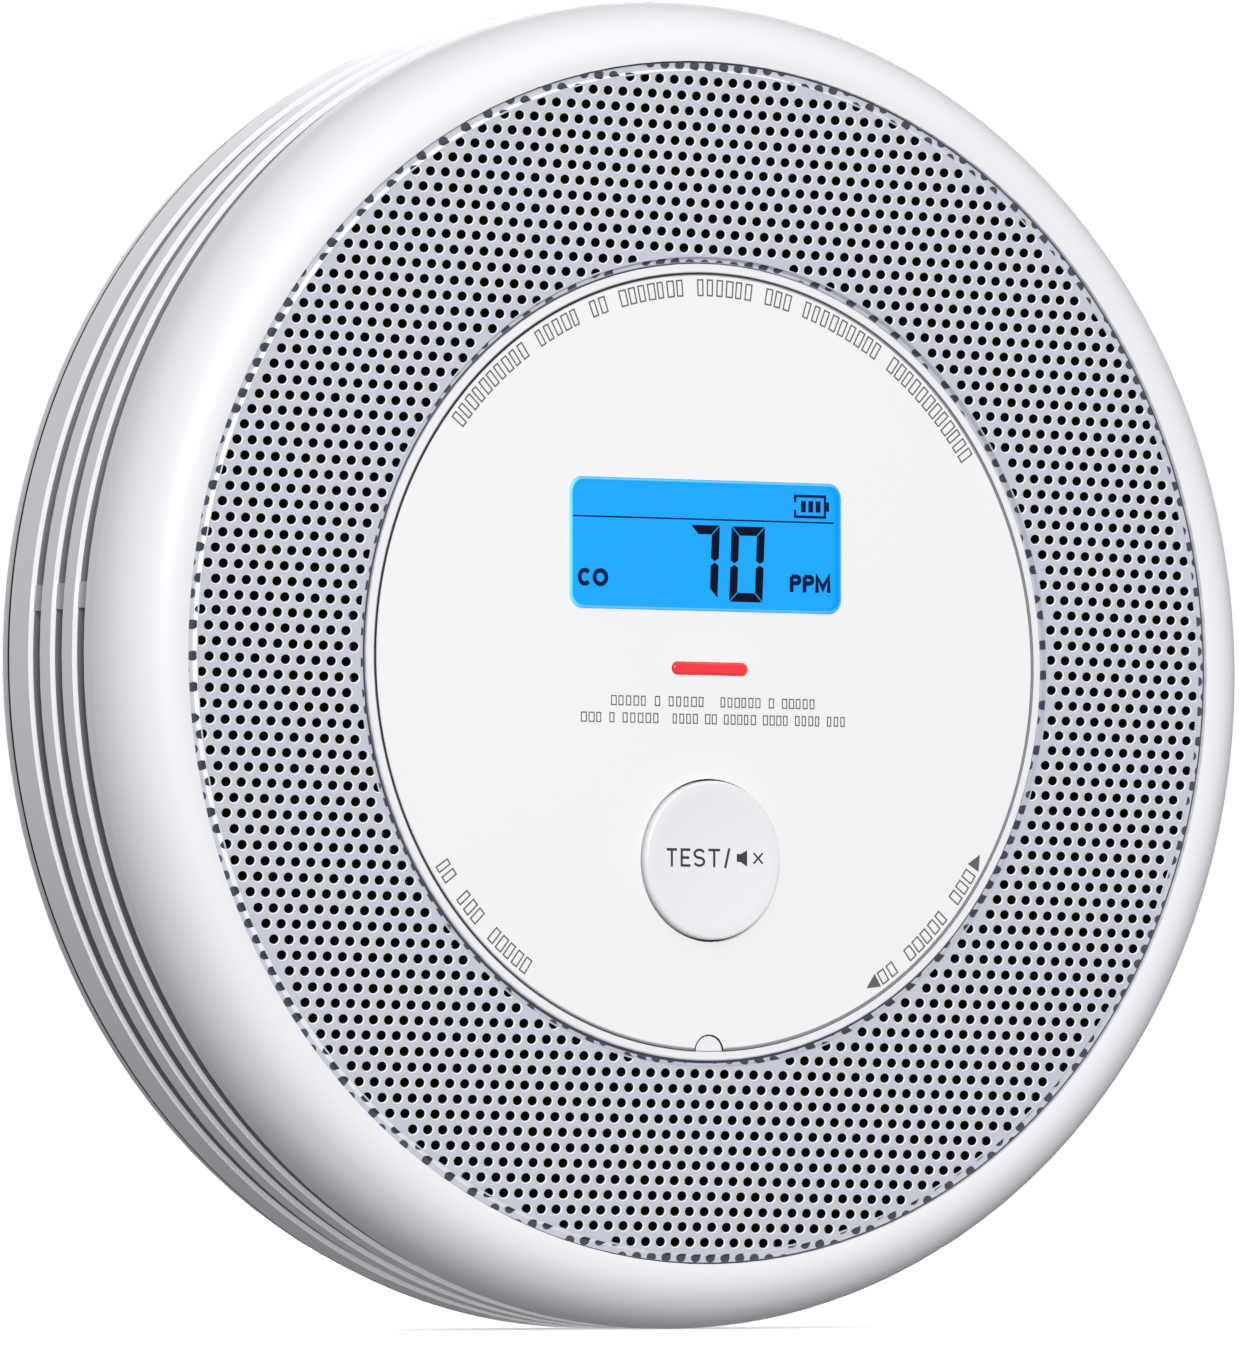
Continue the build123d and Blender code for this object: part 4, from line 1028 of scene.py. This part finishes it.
def make_label_print():
    """Frame, rows of empty letter boxes and two outlined symbols on the blank rating label."""
    left, right = label_low.x / MM, label_high.x / MM
    low, high = label_low.z / MM, label_high.z / MM
    centre = ((left + right) / 2, (low + high) / 2)
    marks = Print(-label_high.y / MM - 0.002, -PRINT_HEIGHT)
    frame_line = rounded_outline(right - left, high - low, 1.5, 1.2, centre)
    marks.line(frame_line, 0.18, closed=True)
    rows = ((6, 4, 5), (3, 7, 2), (5, 5), (4, 2, 6), (7, 3), (2, 6, 4), (5, 3, 3))
    margin, row_pitch = 2.5, 2.5
    inside = right - left - 2 * margin
    for k, words in enumerate(rows):
        row = high - 4.6 - row_pitch * k
        length = min(inside, inside * (0.62 + 0.024 * sum(words)))
        word_row(marks, words, right - margin - length, right - margin, row, 1.3, 0.13, 0.9)
    radius = 2.4
    for k in range(2):
        ring = arc(left + 5.4 + 6.6 * k, low + 5.2, radius, radius, 0, 345, 23)
        marks.line(ring, 0.2, closed=True)
    marks.done("label_print", ink, "housing")


def make_cell_wrap():
    """Printed bands and plain polarity signs on the battery cell's sleeve."""
    middle_x = (cell_low.x + cell_high.x) / 2 / MM
    middle_depth = -(cell_low.y + cell_high.y) / 2 / MM
    radius = (cell_high.x - cell_low.x) / 2 / MM + 0.015
    bottom, top = cell_low.z / MM, cell_high.z / MM

    def ring_at(height, count=72):
        turns = [2 * math.pi * k / count for k in range(count)]
        return [
            place(middle_x + radius * math.cos(t), height, middle_depth + radius * math.sin(t))
            for t in turns
        ]

    points, faces = [], []
    for low, high in (
        (top - 7.2, top - 3.4),
        (top - 8.2, top - 7.8),
        (bottom + 2.2, bottom + 2.9),
    ):
        more, extra = rings([ring_at(low), ring_at(high)])
        faces += shifted(extra, len(points))
        points += more
    bands = build("cell_bands", points, faces, [band_white], "housing")

    def sleeve_depth(x, z):
        return middle_depth - math.sqrt(radius ** 2 - (x - middle_x) ** 2) - 0.01

    signs = Print(sleeve_depth, -0.02)
    thick, reach = 0.3, 1.2
    half = thick / 2
    for height, upright in ((top - 5.3, True), (bottom + 5.0, False)):
        for k in range(-4, 4):
            x = middle_x + thick * k
            signs.box(x, height - half, x + thick, height + half)
        if upright:
            signs.box(middle_x - half, height - reach, middle_x + half, height + reach)
    signs.done("cell_signs", ink_dark, "housing")


make_printing()
make_button_legend()
make_label_print()
make_cell_wrap()


# ---------------------------------------------------------------- floor, light, camera

def floor_material():
    """Pale floor that lightens with distance, so its far edge melts into the backdrop."""
    material = moulded("floor_pale", (0.93, 0.93, 0.935), 0.7, 0.006, 60.0, 0.02, glow=1.0)
    tree = material.node_tree
    away = node(tree, "ShaderNodeVectorMath", operation="LENGTH")
    tree.links.new(node(tree, "ShaderNodeTexCoord").outputs["Object"], away.inputs[0])
    lift = node(tree, "ShaderNodeMapRange")
    for key, value in (("From Min", 0.1), ("From Max", 0.9), ("To Min", 0.40), ("To Max", 1.1)):
        lift.inputs[key].default_value = value
    tree.links.new(away.outputs["Value"], lift.inputs["Value"])
    shader = tree.nodes["Principled BSDF"]
    tree.links.new(lift.outputs["Result"], shader.inputs["Emission Strength"])
    return material


def make_floor(level):
    """Square floor of even cells, hidden from bounced light so that it doesn't tint the alarm."""
    half = 6.0
    count = 24
    points, faces = [], []
    for j in range(count + 1):
        for k in range(count + 1):
            points.append((half * (2 * k / count - 1), half * (2 * j / count - 1), level))
    for j in range(count):
        for k in range(count):
            a = j * (count + 1) + k
            faces.append((a, a + 1, a + count + 2, a + count + 1))
    mesh = bpy.data.meshes.new("floor")
    mesh.from_pydata(points, [], faces)
    mesh.materials.append(floor_material())
    made = bpy.data.objects.new("floor", mesh)
    bpy.context.scene.collection.objects.link(made)
    made.visible_diffuse = False
    made.visible_glossy = False


def make_world():
    """Soft studio: bright in front and above, dim below and behind, plain white when seen."""
    world = bpy.data.worlds.new("studio")
    world.use_nodes = True
    tree = world.node_tree
    tree.nodes.clear()
    output = node(tree, "ShaderNodeOutputWorld")
    direction = node(tree, "ShaderNodeTexCoord").outputs["Generated"]
    split = node(tree, "ShaderNodeSeparateXYZ")
    tree.links.new(direction, split.inputs[0])
    level = None
    middle_level, least_level = 0.37, 0.14
    for axis, amount in (("X", -0.09), ("Y", -0.36), ("Z", 0.20)):
        part = node(tree, "ShaderNodeMath", operation="MULTIPLY")
        tree.links.new(split.outputs[axis], part.inputs[0])
        part.inputs[1].default_value = amount
        total = node(tree, "ShaderNodeMath", operation="ADD")
        tree.links.new(part.outputs[0], total.inputs[0])
        if level is None:
            total.inputs[1].default_value = middle_level
        else:
            tree.links.new(level, total.inputs[1])
        level = total.outputs[0]
    held_level = node(tree, "ShaderNodeMath", operation="MAXIMUM")
    held_level.inputs[1].default_value = least_level
    tree.links.new(level, held_level.inputs[0])
    soft = node(tree, "ShaderNodeBackground", Color=(0.935, 0.94, 1.0, 1.0))
    tree.links.new(held_level.outputs[0], soft.inputs["Strength"])
    plain = node(tree, "ShaderNodeBackground", Color=(1.0, 1.0, 1.0, 1.0), Strength=1.0)
    path = node(tree, "ShaderNodeLightPath")
    both = node(tree, "ShaderNodeMixShader")
    tree.links.new(path.outputs["Is Camera Ray"], both.inputs["Fac"])
    tree.links.new(soft.outputs[0], both.inputs[1])
    tree.links.new(plain.outputs[0], both.inputs[2])
    tree.links.new(both.outputs[0], output.inputs["Surface"])
    bpy.context.scene.world = world


def area_light(name, direction, distance, size, power, colour=(1, 1, 1)):
    """Square light that looks at the alarm's middle from a direction."""
    data = bpy.data.lights.new(name, "AREA")
    data.shape = "SQUARE"
    data.size = size
    data.energy = power
    data.color = colour
    made = bpy.data.objects.new(name, data)
    bpy.context.scene.collection.objects.link(made)
    back = Vector(direction).normalized()
    made.location = back * distance
    made.rotation_euler = back.to_track_quat("Z", "Y").to_euler()
    return made


VIEW_AZIMUTH, VIEW_ELEVATION = -31.908, -2.097
VIEW_DISTANCE = 1319.7
VIEW_RIGHT, VIEW_UP = 8.366, 1.185
AIM_DEPTH = 24.62


def make_camera():
    """Long lens at the photograph's angle, aimed a little left of and below the disc's middle."""
    azimuth, elevation = math.radians(VIEW_AZIMUTH), math.radians(VIEW_ELEVATION)
    back = Vector(
        (
            math.sin(azimuth) * math.cos(elevation),
            -math.cos(azimuth) * math.cos(elevation),
            math.sin(elevation),
        )
    )
    right = Vector((math.cos(azimuth), math.sin(azimuth), 0.0))
    up = back.cross(right)
    aim = Vector((0.0, -AIM_DEPTH * MM, 0.0)) - right * VIEW_RIGHT * MM - up * VIEW_UP * MM
    data = bpy.data.cameras.new("camera")
    data.sensor_width = 36.0
    data.sensor_fit = "HORIZONTAL"
    data.lens = 409.25
    data.clip_end = 50.0
    made = bpy.data.objects.new("camera", data)
    bpy.context.scene.collection.objects.link(made)
    turn = Matrix((right, up, back)).transposed().to_4x4()
    made.matrix_world = Matrix.Translation(aim + back * VIEW_DISTANCE * MM) @ turn
    bpy.context.scene.camera = made


make_floor(cad_low[2])
make_world()
area_light("key", (-0.40, -1.0, 0.38), 1.6, 0.45, 12.8, (1.0, 0.99, 0.955))
area_light("top", (0.5, -0.35, 1.0), 1.3, 0.9, 0.8)
area_light("back_fill", (0.35, 1.0, 0.15), 1.8, 1.2, 22.0)
make_camera()
bpy.context.scene.view_settings.view_transform = "Standard"
